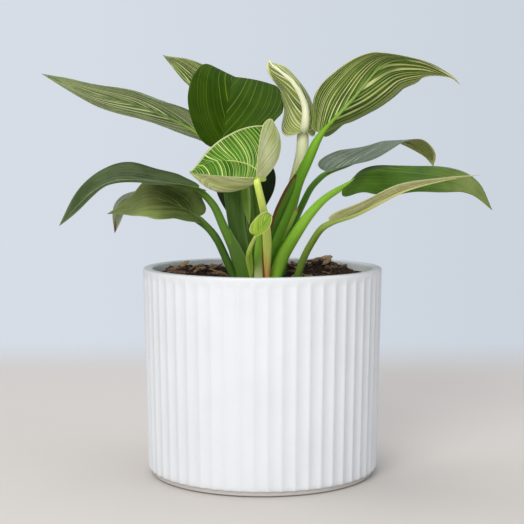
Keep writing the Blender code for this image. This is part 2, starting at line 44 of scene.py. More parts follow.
class Signal:
    def __init__(self, finish, socket):
        self.finish, self.socket = finish, socket

    def math(self, operation, *terms):
        return self.finish.node("Math", {"operation": operation}, dict(enumerate(terms)))

    def __add__(self, other):
        return self.math("ADD", self, other)

    def __sub__(self, other):
        return self.math("SUBTRACT", self, other)

    def __rsub__(self, other):
        return self.math("SUBTRACT", other, self)

    def __mul__(self, other):
        return self.math("MULTIPLY", self, other)

    def __truediv__(self, other):
        return self.math("DIVIDE", self, other)

    def __abs__(self):
        return self.math("ABSOLUTE", self)

    __radd__ = __add__
    __rmul__ = __mul__

    def whole(self):
        return self.math("FLOOR", self)

    def step(self, low, high):  # soft step from 0 at low to 1 at high
        settings = {"interpolation_type": "SMOOTHSTEP"}
        return self.finish.node("MapRange", settings, {"Value": self, "From Min": low, "From Max": high})


class Finish:
    def __init__(self, name, constants, forWorld=False):
        self.owner = (bpy.data.worlds if forWorld else bpy.data.materials).new(name)
        self.owner.use_nodes = True
        self.tree = self.owner.node_tree
        self.shader = self.tree.nodes["Background" if forWorld else "Principled BSDF"]
        self.feed(constants)

    def node(self, kind, settings, sockets, output=0):  # settings go in before the sockets
        made = self.tree.nodes.new("ShaderNode" + kind)
        for key, value in settings.items():
            setattr(made, key, value)
        self.fill(made, sockets)
        return Signal(self, made.outputs[output])

    def fill(self, node, sockets):
        for key, value in sockets.items():
            if isinstance(value, Signal):
                self.tree.links.new(value.socket, node.inputs[key])
            else:
                node.inputs[key].default_value = value

    def feed(self, sockets):
        self.fill(self.shader, sockets)

    def place(self):  # metres from the object's origin
        return self.node("TexCoord", {}, {}, "Object")

    def mark(self, name, output="Fac"):  # an attribute of the piece's own mesh
        return self.node("Attribute", {"attribute_name": name}, {}, output)

    def parts(self, vector):
        split = self.node("SeparateXYZ", {}, {0: vector}).socket.node
        return [Signal(self, output) for output in split.outputs]

    def join(self, first, second, third):
        return self.node("CombineXYZ", {}, {0: first, 1: second, 2: third})

    def lot(self, number):  # a drawn value from 0 to 1, the same for the same number
        return self.node("TexWhiteNoise", {"noise_dimensions": "1D"}, {"W": number})

    def stretch(self, vector, scale):
        return self.node("Mapping", {}, {"Vector": vector, "Scale": scale})

    def noise(self, vector, scale, detail, rough=0.5):
        sockets = {"Vector": vector, "Scale": scale, "Detail": detail, "Roughness": rough}
        return self.node("TexNoise", {}, sockets, "Fac")

    def mix(self, share, low, high):  # each is a colour signal or a screen colour
        low, high = (colour if isinstance(colour, Signal) else tone(colour) for colour in (low, high))
        return self.node("Mix", {"data_type": "RGBA"}, {0: share, 6: low, 7: high}, 2)

    def bright(self, colour, value):  # the same colour at another brightness
        return self.node("HueSaturation", {}, {"Value": value, "Color": colour})

    def cover(self, colour, rough, relief, strength, depth):  # relief is a height of up to depth metres
        bump = self.node("Bump", {}, {"Height": relief, "Strength": strength, "Distance": depth})
        self.feed({"Base Color": colour, "Roughness": rough, "Normal": bump})
        return self


def tone(colour):  # a screen colour as the linear colour that shaders take
    share = np.array(colour) / 255
    linear = np.where(share > 0.04045, ((share + 0.055) / 1.055) ** 2.4, share / 12.92)
    return (*linear.tolist(), 1)


# Surfaces. Every shape is an array of points, a list of face arrays and the attributes that its finish reads.

def placed(name, data):  # a new object in the scene
    made = bpy.data.objects.new(name, data)
    bpy.context.scene.collection.objects.link(made)
    return made


def meshPiece(name, shape, finish, node, smooth=True):  # puts a shape into one closed mesh
    points, faces, marks = shape
    corners = np.concatenate([block.ravel() for block in faces]).astype(np.int32)
    sizes = np.concatenate([np.full(len(block), block.shape[1]) for block in faces])
    starts = (np.cumsum(sizes) - sizes).astype(np.int32)
    mesh = bpy.data.meshes.new(name)
    mesh.vertices.add(len(points))
    mesh.vertices.foreach_set("co", np.ascontiguousarray(points, np.float32).ravel())
    mesh.loops.add(len(corners))
    mesh.loops.foreach_set("vertex_index", corners)
    mesh.polygons.add(len(sizes))
    mesh.polygons.foreach_set("loop_start", starts)
    mesh.polygons.foreach_set("use_smooth", np.full(len(sizes), smooth))
    mesh.update(calc_edges=True)
    for key, values in marks.items():
        kind, field = ("FLOAT_VECTOR", "vector") if values.ndim == 2 else ("FLOAT", "value")
        attribute = mesh.attributes.new(key, kind, "POINT")
        attribute.data.foreach_set(field, np.ascontiguousarray(values, np.float32).ravel())
    mesh.materials.append(finish.owner)
    piece = placed(name, mesh)
    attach(piece, "root")
    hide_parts(node)


def ringFaces(rows, sides):  # quads between rings of points, numbered ring by ring
    row, column = np.meshgrid(np.arange(rows - 1), np.arange(sides), indexing="ij")
    a = (row * sides + column).ravel()
    b = (row * sides + (column + 1) % sides).ravel()
    return np.column_stack([a, b, b + sides, a + sides])


def closedFaces(rows, sides):  # the same, closed on two points numbered after the rings, one at each end
    turn, count = np.arange(sides), rows * sides
    following, lastRing = (turn + 1) % sides, count - sides
    start = np.column_stack([np.full(sides, count), following, turn])
    end = np.column_stack([np.full(sides, count + 1), turn + lastRing, following + lastRing])
    return [ringFaces(rows, sides), start, end]


def circle(count):  # angles evenly spaced round a circle
    return np.linspace(0, 2 * np.pi, count, endpoint=False)


def unit(vectors):
    return vectors / np.linalg.norm(vectors, axis=-1, keepdims=True)


def smoothCurve(points, at):  # Catmull-Rom: a cubic through the points, read at fractions of their count
    knots = np.array(points, float)
    full = np.vstack([2 * knots[0] - knots[1], knots, 2 * knots[-1] - knots[-2]])
    place = np.asarray(at, float) * (len(knots) - 1)
    span = np.minimum(place.astype(int), len(knots) - 2)
    u = (place - span)[:, None]
    a, b, c, d = (full[span + k] for k in range(4))
    return 0.5 * (2 * b + (c - a) * u + (2 * a - 5 * b + 4 * c - d) * u**2 + (3 * b - a - 3 * c + d) * u**3)


def softRead(x, values, reach=0.08):  # evenly spaced values read at x, with the corners between them rounded
    stations = np.linspace(0, 1, len(values))
    near = [np.interp(np.clip(x + shift, 0, 1), stations, values) for shift in np.linspace(-reach, reach, 7)]
    return np.mean(near, axis=0)


def rod(path, radii, side, sides, section):
    # path + radius * section(a) * (cos a * side + sin a * other) for each angle a, with side kept square to the path
    along = unit(np.gradient(path, axis=0))
    across = unit(side - (side * along).sum(-1, keepdims=True) * along)
    other = np.cross(along, across)
    angle = circle(sides)
    ring = np.cos(angle)[:, None] * across[:, None] + np.sin(angle)[:, None] * other[:, None]
    points = path[:, None] + ring * (radii[:, None] * section(angle))[..., None]
    points = np.vstack([points.reshape(-1, 3), path[0], path[-1]])
    reach = np.concatenate([[0], np.cumsum(np.linalg.norm(np.diff(path, axis=0), axis=1))])
    centimetres = reach / 0.01
    around = np.stack(np.broadcast_arrays(np.cos(angle), np.sin(angle), centimetres[:, None]), -1)
    around = np.vstack([around.reshape(-1, 3), [0, 0, 0], [0, 0, centimetres[-1]]])
    share = np.append(np.repeat(reach / reach[-1], sides), [0, 1])
    return points, closedFaces(len(path), sides), {"around": around, "share": share}


# Pot: a profile turned round Z, with each flute sunk between two ridges

pot = {
    "height": 138.5 * mm, "rimRadius": 80 * mm, "baseRadius": 77.2 * mm, "wall": 6.5 * mm, "floor": 7 * mm,
    "lipOuterRound": 1.3 * mm, "lipInnerRound": 1.5 * mm, "footHeight": 3.4 * mm, "footRadius": 74.5 * mm,
    "toeRound": 1.2 * mm, "underRound": 1.8 * mm,
    "flutes": 55, "stepsPerFlute": 10, "fluteDepth": 1.1 * mm, "fluteTop": 137 * mm, "fluteFade": 6 * mm,
    "ridgeRound": 0.05, "firstRidge": -87.7, "centreRing": 40 * mm, "floorCorner": (2 * mm, 3 * mm),
    # the bare clay colour serves specks in the glaze and the foot band, where it is darkened as painted shade
    "glaze": (236, 238, 241), "shadeOfGlaze": (232, 234, 237), "clayAndFootShade": (204, 201, 197),
    # a painted contact shadow, darkest where the foot meets the floor
    "paintedContactShadow": (112, 106, 100),
    "footShadeHeights": (3 * mm, 4.2 * mm), "contactShadowHeights": (0.4 * mm, 1.4 * mm),  # where the foot band of bare clay with painted shade and the painted contact shadow end
}


def potWall(height):
    return pot["baseRadius"] + (pot["rimRadius"] - pot["baseRadius"]) * height / pot["height"]


def arc(centre, radius, start, end, count):
    angle = np.radians(np.linspace(start, end, count))
    return np.column_stack([centre[0] + radius * np.cos(angle), centre[1] + radius * np.sin(angle)])


def potProfile():
    outer, inner, under = pot["lipOuterRound"], pot["lipInnerRound"], pot["underRound"]
    foot, top, rim = pot["footHeight"], pot["height"], pot["rimRadius"]
    mouth, toe, floor = rim - pot["wall"], pot["toeRound"], pot["floor"]
    centre, (cornerIn, cornerUp) = pot["centreRing"], pot["floorCorner"]
    body = np.concatenate([  # heights of the rings, closer together at the foot and the lip
        np.linspace(foot + under, 12 * mm, 4),
        np.linspace(16 * mm, 122 * mm, 12),
        pot["fluteTop"] - pot["fluteFade"] * np.linspace(1.6, 0, 14),
    ])
    inside = np.linspace(top - inner, floor + cornerUp, 14)
    return np.vstack([
        [(0.0, 0.0), (centre, 0.0)],
        arc((pot["footRadius"] - toe, toe), toe, -90, 0, 5),
        [(pot["footRadius"], foot - 0.4 * mm)],
        arc((potWall(0) - under, foot + under), under, -86, -8, 7),
        np.column_stack([potWall(body), body]),
        arc((rim - outer, top - outer), outer, 5, 90, 8),
        arc((mouth + inner, top - inner), inner, 95, 175, 7),
        np.column_stack([potWall(inside) - pot["wall"], inside]),
        [(potWall(0) - pot["wall"] - cornerIn, floor), (centre, floor), (0.0, floor)],
    ])


def turned(profile, steps, sink):
    # point = (r cos a, r sin a, z), with r lowered by sink(r, z, a); both ends of the profile lie on the axis
    angle = circle(steps)
    radius, height = profile[1:-1, 0][:, None], profile[1:-1, 1][:, None]
    drawn = radius - sink(radius, height, angle)
    rings = np.stack([drawn * np.cos(angle), drawn * np.sin(angle), height + 0 * angle], -1)
    points = np.vstack([rings.reshape(-1, 3), [0, 0, profile[0, 1]], [0, 0, profile[-1, 1]]])
    return points, closedFaces(len(profile) - 2, steps), {}


def fluteDepth(radius, height, angle):  # an arc between ridges, rounded at the ridge, fading out below the lip
    across = (np.degrees(angle) - pot["firstRidge"]) * pot["flutes"] / 360
    hollow = 1 - (2 * (across - np.floor(across)) - 1) ** 2
    softened = np.sqrt(hollow**2 + pot["ridgeRound"] ** 2) - pot["ridgeRound"]
    fade = np.clip((pot["fluteTop"] - height) / pot["fluteFade"], 0, 1)
    fade = fade * fade * (3 - 2 * fade) * np.clip((radius - pot["footRadius"]) / pot["underRound"], 0, 1)
    outside = (radius > pot["footRadius"]) & (height < pot["fluteTop"])
    return pot["fluteDepth"] * softened * fade * outside


def glazedCeramic():  # satin white glaze, faintly uneven, with a foot band of bare clay darkened as painted shade and a painted contact shadow at its bottom
    glaze = Finish("whiteGlaze", {"IOR": 1.5, "Coat Roughness": 0.25})
    place = glaze.place()
    height = glaze.parts(place)[2]
    clouds = glaze.noise(place, 26, 4)
    specks = glaze.noise(place, 900, 1).step(0.76, 0.8)
    colour = glaze.mix(clouds.step(0.35, 0.75), pot["glaze"], pot["shadeOfGlaze"])
    colour = glaze.mix(specks * 0.25, colour, pot["clayAndFootShade"])
    # painted shade: the foot band below these heights takes the darker bare clay colour
    colour = glaze.mix(1 - height.step(*pot["footShadeHeights"]), colour, pot["clayAndFootShade"])
    # painted contact shadow: a dark line along the foot's bottom edge
    colour = glaze.mix(1 - height.step(*pot["contactShadowHeights"]), colour, pot["paintedContactShadow"])
    skin = glaze.noise(place, 1400, 2) * 0.4 + glaze.noise(place, 160, 3)
    glaze.feed({"Coat Weight": 0.1 + clouds * 0.1})
    return glaze.cover(colour, 0.36 + clouds * 0.12, skin, 0.12, 0.0006)


potShape = turned(potProfile(), pot["flutes"] * pot["stepsPerFlute"], fluteDepth)
meshPiece("fluted_pot", potShape, glazedCeramic(), "pot")
print("pot turned")


# Leaves, in mm. The midrib runs from base to tip, and facing is the way its upper side looks along it. Fold is
# how far each half rises from the midrib, curl how far it bends on towards its margin, in degrees from base to
# tip, left half then right. Wave is the height and count of the margin's waves. The stalk runs from the blade's
# base down to the soil. Top and under hold a side's green, dark green and stripe colour, rib the midrib's colour
# above and below, stalkTones the stalk's from foot to blade. Stripes are how many follow the side veins and how
# much they cover, sweep is how far they bend to the tip, show how clear they are above and below, and thin how
# clear finer ones between them are. RibLine and margin are width and strength. Outlines run from base to tip, as
# shares of the length and of the half width.
heartOutline = ((0, 0), (-0.055, 0.30), (-0.05, 0.62), (0.03, 0.88), (0.18, 1), (0.38, 0.93),
    (0.58, 0.70), (0.76, 0.40), (0.9, 0.15), (1, 0))
cuppedOutline = (*heartOutline[:5], (0.38, 0.96), (0.58, 0.80), (0.76, 0.56), (0.9, 0.30), (1, 0))
lanceOutline = ((0, 0), (-0.03, 0.3), (-0.01, 0.58), (0.08, 0.83), (0.24, 1), (0.44, 0.96),
    (0.63, 0.72), (0.8, 0.4), (0.92, 0.15), (1, 0))

usual = dict(  # for what a leaf doesn't say itself
    curl=((0, 0, 0), (0, 0, 0)), show=(1.0, 1.0), thin=0.45, ribLine=(0.6, 0.5), margin=(0.6, 0.6),
    rough=0.46, gloss=0.2, centre=0, outline=lanceOutline)

leaves = {}
leaves["leaf_far_left"] = dict(
    midrib=((-33, 34, 221), (-51, 40, 233), (-83, 46, 247), (-118, 44, 256), (-140, 46, 264), (-155, 48, 270)),
    facing=((0.3, 0.46, 0.84), (0.31, 0.52, 0.8)), halfWidth=(27, 27), wave=(1, 2.5),
    fold=((10, 26, 4), (13, -38, 2)), curl=((-23, -80, -74), (9, 94, 58)),
    top=((103, 128, 71), (82, 105, 52), (192, 213, 178)), under=((106, 129, 69), (57, 78, 32), (237, 247, 186)),
    rib=((141, 164, 109), (126, 145, 92)), edge=(150, 167, 125), stripes=(12, 0.46), sweep=(0.85, 1), thin=1,
    ribLine=(0.6, 0.3), margin=(0.5, 0.5), rough=0.5, seed=3,
    stalkTones=((111, 153, 44), (129, 176, 52), (147, 182, 70)),
    stalk=((-20, 34, 211), (-11, 31, 196), (-9, 25, 176), (-7, 19, 155), (-6, 14, 130)),
    stalkRadius=(1.6, 2.4, 3.2, 3.2, 3, 2.8))
leaves["leaf_upper_left"] = dict(
    midrib=((-26, 70, 246), (-43, 75, 257), (-61, 91, 273), (-74, 106, 287)),
    facing=((0.24, 0.71, 0.66), (0.1, 0.66, 0.74)), halfWidth=(19, 17), wave=(0.8, 2),
    fold=((56, 30, 17), (43, 19, 14)),
    top=((86, 107, 39), (51, 71, 20), (249, 249, 167)), under=((98, 118, 49), (67, 85, 34), (247, 248, 174)),
    rib=((169, 189, 116), (158, 176, 104)), edge=(182, 189, 125), stripes=(10, 0.34), sweep=(0.75, 1), thin=0.3,
    ribLine=(0.6, 0.3), margin=(0.5, 0.4), rough=0.48, seed=8,
    stalkTones=((98, 135, 40), (107, 147, 44), (120, 156, 60)),
    stalk=((-24, 56, 235), (-11, 37, 217), (-6, 23, 196), (-4, 12, 173), (-3, 5, 153), (-2, 2, 131)),
    stalkRadius=(1.6, 1.8, 2, 2.1, 2.2, 2.4, 2.6))
leaves["leaf_heart"] = dict(
    midrib=((-27, 12, 219), (-26, 26, 235), (-23, 42, 256), (-21, 57, 267), (-17, 75, 267), (-11, 87, 255),
        (-6, 92, 245)), facing=((-0.18, -0.79, 0.58), (-0.14, -0.77, 0.62), (0, -0.01, 1), (0.05, 0.61, 0.79)),
    halfWidth=(32, 41), outline=heartOutline, wave=(0.8, 1.5), fold=((51, 25, 23), (14, 2, -20)),
    curl=((13, 20, -13), (11, -20, -34)),
    top=((55, 84, 5), (44, 71, 3), (153, 172, 64)), under=((81, 98, 21), (63, 82, 13), (134, 146, 45)),
    # the first rib colour, darker than the blade, is painted shade along the midrib's groove
    rib=((40, 66, 3), (93, 116, 23)), edge=(81, 78, 9), stripes=(8, 0.12), sweep=(0.7, 0.9), show=(0.6, 0.6),
    thin=0.25, ribLine=(0.7, 0.5), rough=0.5, gloss=0.05, seed=1,
    stalkTones=((83, 147, 28), (81, 131, 30), (83, 126, 30)),
    stalk=((-23, 12, 203), (-20, 10, 190), (-17, 6, 173), (-13, 1, 153), (-10, -4, 132)),
    stalkRadius=(2.8, 4.2, 4.6, 4.6, 4.6, 4.6))
leaves["leaf_front_striped"] = dict(
    midrib=((-4, -74, 200), (1, -53, 199), (0, -36, 201), (-7, -22, 207), (-19, -10, 210), (-34, -3, 209),
        (-49, 2, 202)), facing=((-0.31, -0.09, 0.9), (-0.2, -0.11, 0.44), (-0.19, -1.05, 0.59), (-0.54, -0.11, 0.51)),
    halfWidth=(49, 39), outline=heartOutline, leftOutline=cuppedOutline, wave=(0.8, 2),
    fold=((18, -42, -59), (59, -16, 24)), curl=((11, 131, 267), (18, 133, 63)),
    top=((75, 134, 11), (45, 99, 4), (229, 247, 146)), under=((242, 245, 187), (182, 196, 95), (249, 249, 213)),
    rib=((201, 221, 125), (215, 227, 125)), edge=(227, 231, 169), stripes=(26, 0.36), sweep=(0.5, 1), show=(1, 0.9),
    thin=0.8, ribLine=(0.7, 0), margin=(0.7, 0.9), centre=-0.72, seed=5,
    stalkTones=((212, 139, 80), (227, 243, 122), (227, 249, 114)),
    stalk=((-2, -66, 191), (0, -55, 182), (2, -43, 171), (3, -33, 156), (2, -27, 134)),
    stalkRadius=(2.2, 2.3, 2.4, 2.6, 3, 3))
leaves["leaf_new_small"] = dict(
    midrib=((-4, -61, 164), (-1, -61, 168), (3, -59, 176), (6, -54, 176)),
    facing=((-0.09, -0.83, 0.55), (0.25, -0.53, 0.81)), halfWidth=(7, 8), outline=heartOutline, wave=(0, 1),
    fold=((46, 25, 14), (54, 32, 3)),
    top=((157, 192, 56), (105, 149, 21), (215, 216, 126)), under=((165, 179, 84), (146, 163, 65), (205, 200, 137)),
    rib=((177, 187, 88), (188, 192, 105)), edge=(209, 204, 141), stripes=(7, 0.35), sweep=(0.6, 0.9), show=(0.9, 0.7),
    margin=(0.7, 0.7), seed=2,
    stalkTones=((237, 249, 130), (212, 249, 100), (206, 249, 96)),
    stalk=((-8, -51, 154), (-8.5, -38, 146), (-7, -26, 134)), stalkRadius=(1, 1.6, 2.3, 1.6))
leaves["leaf_cream_top"] = dict(
    midrib=((28, -8, 230), (28, -8, 246), (20, -11, 261), (7, -7, 272), (4, 9, 277)),
    facing=((0, 1, -0.05), (-0.06, 0.98, 0.18)), halfWidth=(18, 27), outline=heartOutline, wave=(0.5, 2),
    fold=((35, 43, 34), (9, 39, 36)), curl=((53, 90, 65), (82, 62, 52)),
    top=((97, 121, 41), (63, 90, 33), (249, 249, 180)), under=((139, 154, 59), (72, 95, 37), (249, 249, 194)),
    rib=((249, 249, 180), (249, 249, 211)), edge=(249, 249, 176), stripes=(9, 0.6), sweep=(0.75, 0.9), thin=0.4,
    ribLine=(1.2, 0.8), ribRadius=3, margin=(1.6, 0.9), seed=4,
    stalkTones=((191, 211, 108), (249, 249, 192), (249, 249, 210)),
    stalk=((27, 1, 230), (26.5, 4, 215), (22, 5, 198), (15, 6, 175), (10, 6, 153), (6, 5, 131)),
    stalkRadius=(2.6, 3.8, 4.3, 3.5, 3, 2.8, 2.6))
leaves["leaf_upper_right"] = dict(
    midrib=((38, -13, 228), (47, -19, 238), (60, -22, 252), (79, -24, 273), (101, -33, 274), (120, -35, 265),
        (127, -34, 258)), facing=((-0.29, 0.83, 0.47), (-0.39, 0.79, 0.47), (0.11, 0.64, 0.76), (0.42, 0.35, 0.83)),
    halfWidth=(37, 22), wave=(1.2, 2.5), fold=((27, -35, 16), (74, -23, -55)), curl=((43, 89, -7), (0, 0, 0)),
    top=((92, 117, 39), (56, 84, 17), (226, 224, 165)), under=((96, 126, 34), (56, 87, 12), (231, 231, 163)),
    rib=((123, 163, 58), (144, 168, 93)), edge=(222, 211, 156), stripes=(11, 0.55), sweep=(0.72, 0.85), thin=0.25,
    ribLine=(0.8, 0.9), margin=(0.7, 0.9), seed=6,
    stalkTones=((102, 150, 30), (98, 150, 28), (142, 198, 46)),
    stalk=((30, -12, 210), (23, -10, 195), (18, -9, 178), (12, -9, 163), (7, -9, 146), (4, -9, 132)),
    stalkRadius=(2.6, 3.4, 4, 4.6, 4.8, 4.8, 4.6))
leaves["leaf_right_grey"] = dict(
    midrib=((44, 20, 202), (63, 24, 209), (86, 31, 222), (101, 38, 222), (115, 45, 214), (121, 52, 205)),
    facing=((0, -0.34, 0.94), (-0.01, -0.05, 1), (0.15, 0.18, 0.97), (0.42, 0.5, 0.7)), halfWidth=(21, 29),
    wave=(1, 2), fold=((20, 2, 4), (23, -6, 10)),
    # the top tones are greyed by a painted sheen laid over the leaf's own green
    top=((104, 120, 99), (63, 82, 65), (190, 201, 174)), under=((131, 143, 53), (77, 96, 31), (196, 198, 117)),
    rib=((137, 150, 121), (119, 139, 82)), edge=(187, 189, 119), stripes=(12, 0.35), sweep=(0.85, 0.95), thin=0.5,
    ribLine=(0.5, 0.4), margin=(0.6, 0.8), rough=0.42, seed=9,
    stalkTones=((86, 139, 32), (90, 145, 38), (111, 156, 58)),
    stalk=((34, 20, 192), (28, 18, 181), (22, 16, 168), (17, 13, 152), (13, 11, 131)),
    stalkRadius=(2, 2.2, 2.3, 2.4, 2.4, 2.4))
leaves["leaf_right_long"] = dict(
    midrib=((54, -10, 193), (68, -12, 202), (94, -14, 206), (124, -16, 204), (141, -16, 195), (152, -13, 177)),
    facing=((0.28, -0.06, 0.96), (-0.01, -0.33, 0.94), (-0.01, -0.44, 0.9), (0.65, -0.62, 0.43)), halfWidth=(27, 28),
    wave=(1, 2.5), fold=((1, -25, -21), (-23, -17, -32)),
    top=((72, 109, 24), (46, 78, 10), (129, 151, 62)), under=((103, 120, 52), (79, 95, 36), (150, 161, 86)),
    rib=((89, 120, 34), (89, 126, 36)), edge=(129, 137, 64), stripes=(11, 0.22), sweep=(0.85, 1), show=(0.7, 0.7),
    thin=0.5, margin=(0.5, 0.6), rough=0.42, far=((140, 152, 88), 0.45, 0.85), seed=10,
    stalkTones=((146, 198, 58), (142, 193, 54), (150, 204, 70)),
    stalk=((41, -15, 185), (30, -21, 174), (21, -21, 161), (13, -20, 147), (8, -19, 133)),
    stalkRadius=(2, 2.6, 3.4, 4.2, 4.4, 4.4))
leaves["leaf_right_folded"] = dict(
    midrib=((46, -49, 172), (61, -59, 178), (87, -72, 192), (112, -82, 199), (131, -93, 202)),
    facing=((0.17, 0.5, 0.85), (0.06, 0.43, 0.9)), halfWidth=(18, 8), wave=(0.8, 2), fold=((40, 33, 30), (16, 2, 0)),
    top=((121, 135, 56), (79, 101, 39), (220, 220, 163)), under=((155, 160, 94), (109, 120, 56), (236, 231, 179)),
    rib=((161, 167, 96), (205, 200, 134)), edge=(208, 206, 155), stripes=(8, 0.7), sweep=(0.9, 1), margin=(0.9, 0.8),
    rough=0.5, seed=12,
    stalkTones=((115, 151, 52), (137, 166, 68), (176, 187, 104)),
    stalk=((38, -43, 167), (32, -31, 157), (27, -22, 146), (23, -15, 133)), stalkRadius=(1.8, 2.2, 2.3, 2.4, 2.5))
leaves["leaf_left_arching"] = dict(
    midrib=((-42, -22, 192), (-51, -26, 194), (-72, -34, 197), (-94, -40, 197), (-110, -41, 189), (-131, -37, 168)),
    facing=((0.08, -0.19, 0.98), (0.02, -0.35, 0.94), (-0.35, -0.39, 0.85), (-0.66, -0.6, 0.44)), halfWidth=(20, 26),
    wave=(1, 2.5), fold=((8, 20, -2), (4, 5, 18)),
    top=((75, 93, 52), (44, 62, 29), (133, 146, 100)), under=((86, 101, 56), (57, 72, 36), (149, 156, 114)),
    rib=((138, 150, 114), (90, 115, 56)), edge=(111, 125, 86), stripes=(9, 0.2), sweep=(0.85, 1), show=(0.8, 0.7),
    thin=0.5, ribLine=(0.8, 0.8), margin=(0.6, 0.7), gloss=0.12, seed=13,
    stalkTones=((93, 137, 34), (98, 139, 44), (102, 133, 50)),
    stalk=((-32, -22, 181), (-26, -20, 168), (-19, -17, 152), (-12, -14, 133)), stalkRadius=(2.2, 2.6, 3, 3.5, 3.8))
leaves["leaf_left_low"] = dict(
    midrib=((-43, -16, 173), (-57, -18, 181), (-74, -20, 185), (-88, -16, 178), (-102, -22, 175)),
    facing=((-0.36, -0.44, 0.82), (0.05, -0.76, 0.64), (0.06, -0.26, 0.96)), halfWidth=(22, 22), outline=heartOutline,
    wave=(1, 2), fold=((31, 6, 2), (-2, -2, 21)),
    top=((99, 120, 55), (68, 85, 32), (182, 194, 124)), under=((110, 133, 60), (74, 93, 34), (196, 206, 132)),
    rib=((167, 185, 108), (126, 165, 75)), edge=(179, 187, 119), stripes=(11, 0.3), sweep=(0.75, 1), show=(0.8, 0.8),
    thin=0.5, rough=0.5, far=((156, 170, 98), 0.2, 0.6), seed=14,
    stalkTones=((75, 113, 38), (87, 122, 46), (110, 148, 56)),
    stalk=((-32, -14, 161), (-26, -10, 149), (-19, -6, 132)), stalkRadius=(2.2, 2.5, 2.7, 2.8))
leaves["leaf_left_small"] = dict(
    midrib=((-72, 14, 180), (-83, 13, 187), (-98, 14, 180), (-101, 16, 160)),
    facing=((-0.36, -0.34, 0.87), (-0.31, -0.14, 0.94), (-0.76, -0.5, 0.42)), halfWidth=(16, 13), wave=(0.8, 2),
    fold=((22, -24, -18), (-5, 2, 6)),
    top=((132, 146, 105), (84, 96, 66), (218, 221, 189)), under=((146, 158, 118), (96, 106, 74), (230, 231, 200)),
    rib=((176, 184, 145), (132, 153, 101)), edge=(207, 207, 173), stripes=(8, 0.35), sweep=(0.9, 0.9),
    show=(0.9, 0.9), thin=0.4, ribLine=(0.5, 0.4), margin=(0.5, 0.6), rough=0.5, tip=0.86, seed=15,
    stalkTones=((81, 126, 36), (98, 137, 44), (113, 150, 60)),
    stalk=((-53, 12, 173), (-39, 8, 165), (-31, 6, 155), (-25, 5, 145), (-18, 5, 131)),
    stalkRadius=(1.2, 1.4, 1.5, 1.6, 1.8, 1.8))
leaves["leaf_back"] = dict(
    midrib=((-9, 47, 209), (-11, 55, 196), (-12, 63, 177), (-11, 66, 155)),
    facing=((-0.05, 0.84, 0.54), (-0.02, 0.96, 0.29), (0, 1, 0.1)), halfWidth=(22, 21), wave=(0.8, 1.5),
    fold=((-5, -1, 0), (11, 10, 0)),
    # both sides' tones are darkened as painted shade, for a leaf hanging in shade behind the stalks
    top=((42, 60, 30), (32, 48, 24), (60, 78, 42)), under=((48, 64, 34), (36, 52, 26), (70, 86, 50)),
    rib=((56, 76, 38), (56, 78, 34)), edge=(56, 74, 38), stripes=(9, 0.15), sweep=(0.8, 0.9), show=(0.5, 0.4),
    ribLine=(0.5, 0.3), margin=(0.4, 0.3), rough=0.48, seed=16,
    stalkTones=((73, 110, 26), (81, 123, 30), (77, 115, 38)),
    stalk=((-8, 44, 192), (-7, 38, 171), (-5, 29, 151), (-4, 24, 129)), stalkRadius=(1.8, 2, 2.2, 2.4, 2.4))

# Sheaths at the stalks, from the tip down: thin is the thickness over the width, tones are top, foot and dried
# part, drySide is -1 for a dried left edge
sheaths = {}
sheaths["leaf_upper_right_sheath"] = dict(
    path=((22.5, -13, 200.5), (18.6, -13.5, 192.5), (14.4, -13.5, 184), (10, -13, 174), (7, -12, 163), (5, -11, 150)),
    halfWidth=(1.2, 2.8, 3, 3, 2.6, 2), thin=0.4,
    # the greens are darkened as painted shade on the wing; the brown is its dried edge
    tones=((88, 128, 36), (62, 100, 22), (100, 64, 34)), streaks=0.9, drySide=-1, dryEdge=(0.58, 0.8), dryTip=0.03)
sheaths["leaf_heart_wings"] = dict(
    path=((-22, 9, 212), (-20.5, 7, 196), (-19, 4, 182), (-17, 0, 166), (-14, -4, 150), (-11, -6, 130)),
    halfWidth=(4.5, 6.6, 6.4, 5.8, 5.2, 5), thin=0.55,
    tones=((92, 124, 54), (72, 108, 36), (120, 150, 80)), streaks=1, drySide=1, dryEdge=(0.86, 0.97), dryTip=0)
sheaths["leaf_heart_sheath"] = dict(
    path=((-11.2, -4, 196), (-11, -7, 187), (-10.2, -8, 178.4), (-9.5, -8, 172.4), (-8.9, -8, 167.5)),
    halfWidth=(2.6, 3.3, 2.7, 1.7, 0.3), thin=0.3,
    tones=((120, 156, 62), (134, 168, 70), (158, 180, 96)), streaks=0.6, drySide=1, dryEdge=(0.7, 0.95), dryTip=0)
sheaths["leaf_front_striped_sheath"] = dict(
    path=((-1.6, -34, 163), (-2.2, -33, 155), (-2.4, -32, 147), (-2.2, -31, 139), (-1.8, -30, 127)),
    halfWidth=(1.6, 2.8, 3.2, 3.4, 3.4), thin=0.5,
    tones=((124, 170, 52), (206, 204, 148), (132, 84, 46)), streaks=0.6, drySide=1, dryEdge=(0.72, 0.95), dryTip=0)
sheaths["leaf_right_long_sheath"] = dict(
    path=((22.8, -23, 179.5), (20.4, -24, 173.5), (17, -24, 166), (13, -22.5, 157)), halfWidth=(1.1, 1.5, 1.4, 0.9),
    thin=0.5,
    tones=((120, 156, 58), (92, 140, 40), (136, 104, 66)), streaks=0.6, drySide=-1, dryEdge=(0.85, 1), dryTip=0.09)
sheaths["leaf_left_arching_sheath"] = dict(
    path=((-23, -20, 164), (-19, -19, 154), (-15.5, -18.5, 145), (-12.6, -18, 137), (-11, -17, 127)),
    halfWidth=(2.2, 4, 5, 5.4, 5.2), thin=0.55,
    tones=((90, 122, 50), (86, 126, 38), (116, 146, 66)), streaks=0.6, drySide=1, dryEdge=(0.85, 0.97), dryTip=0)

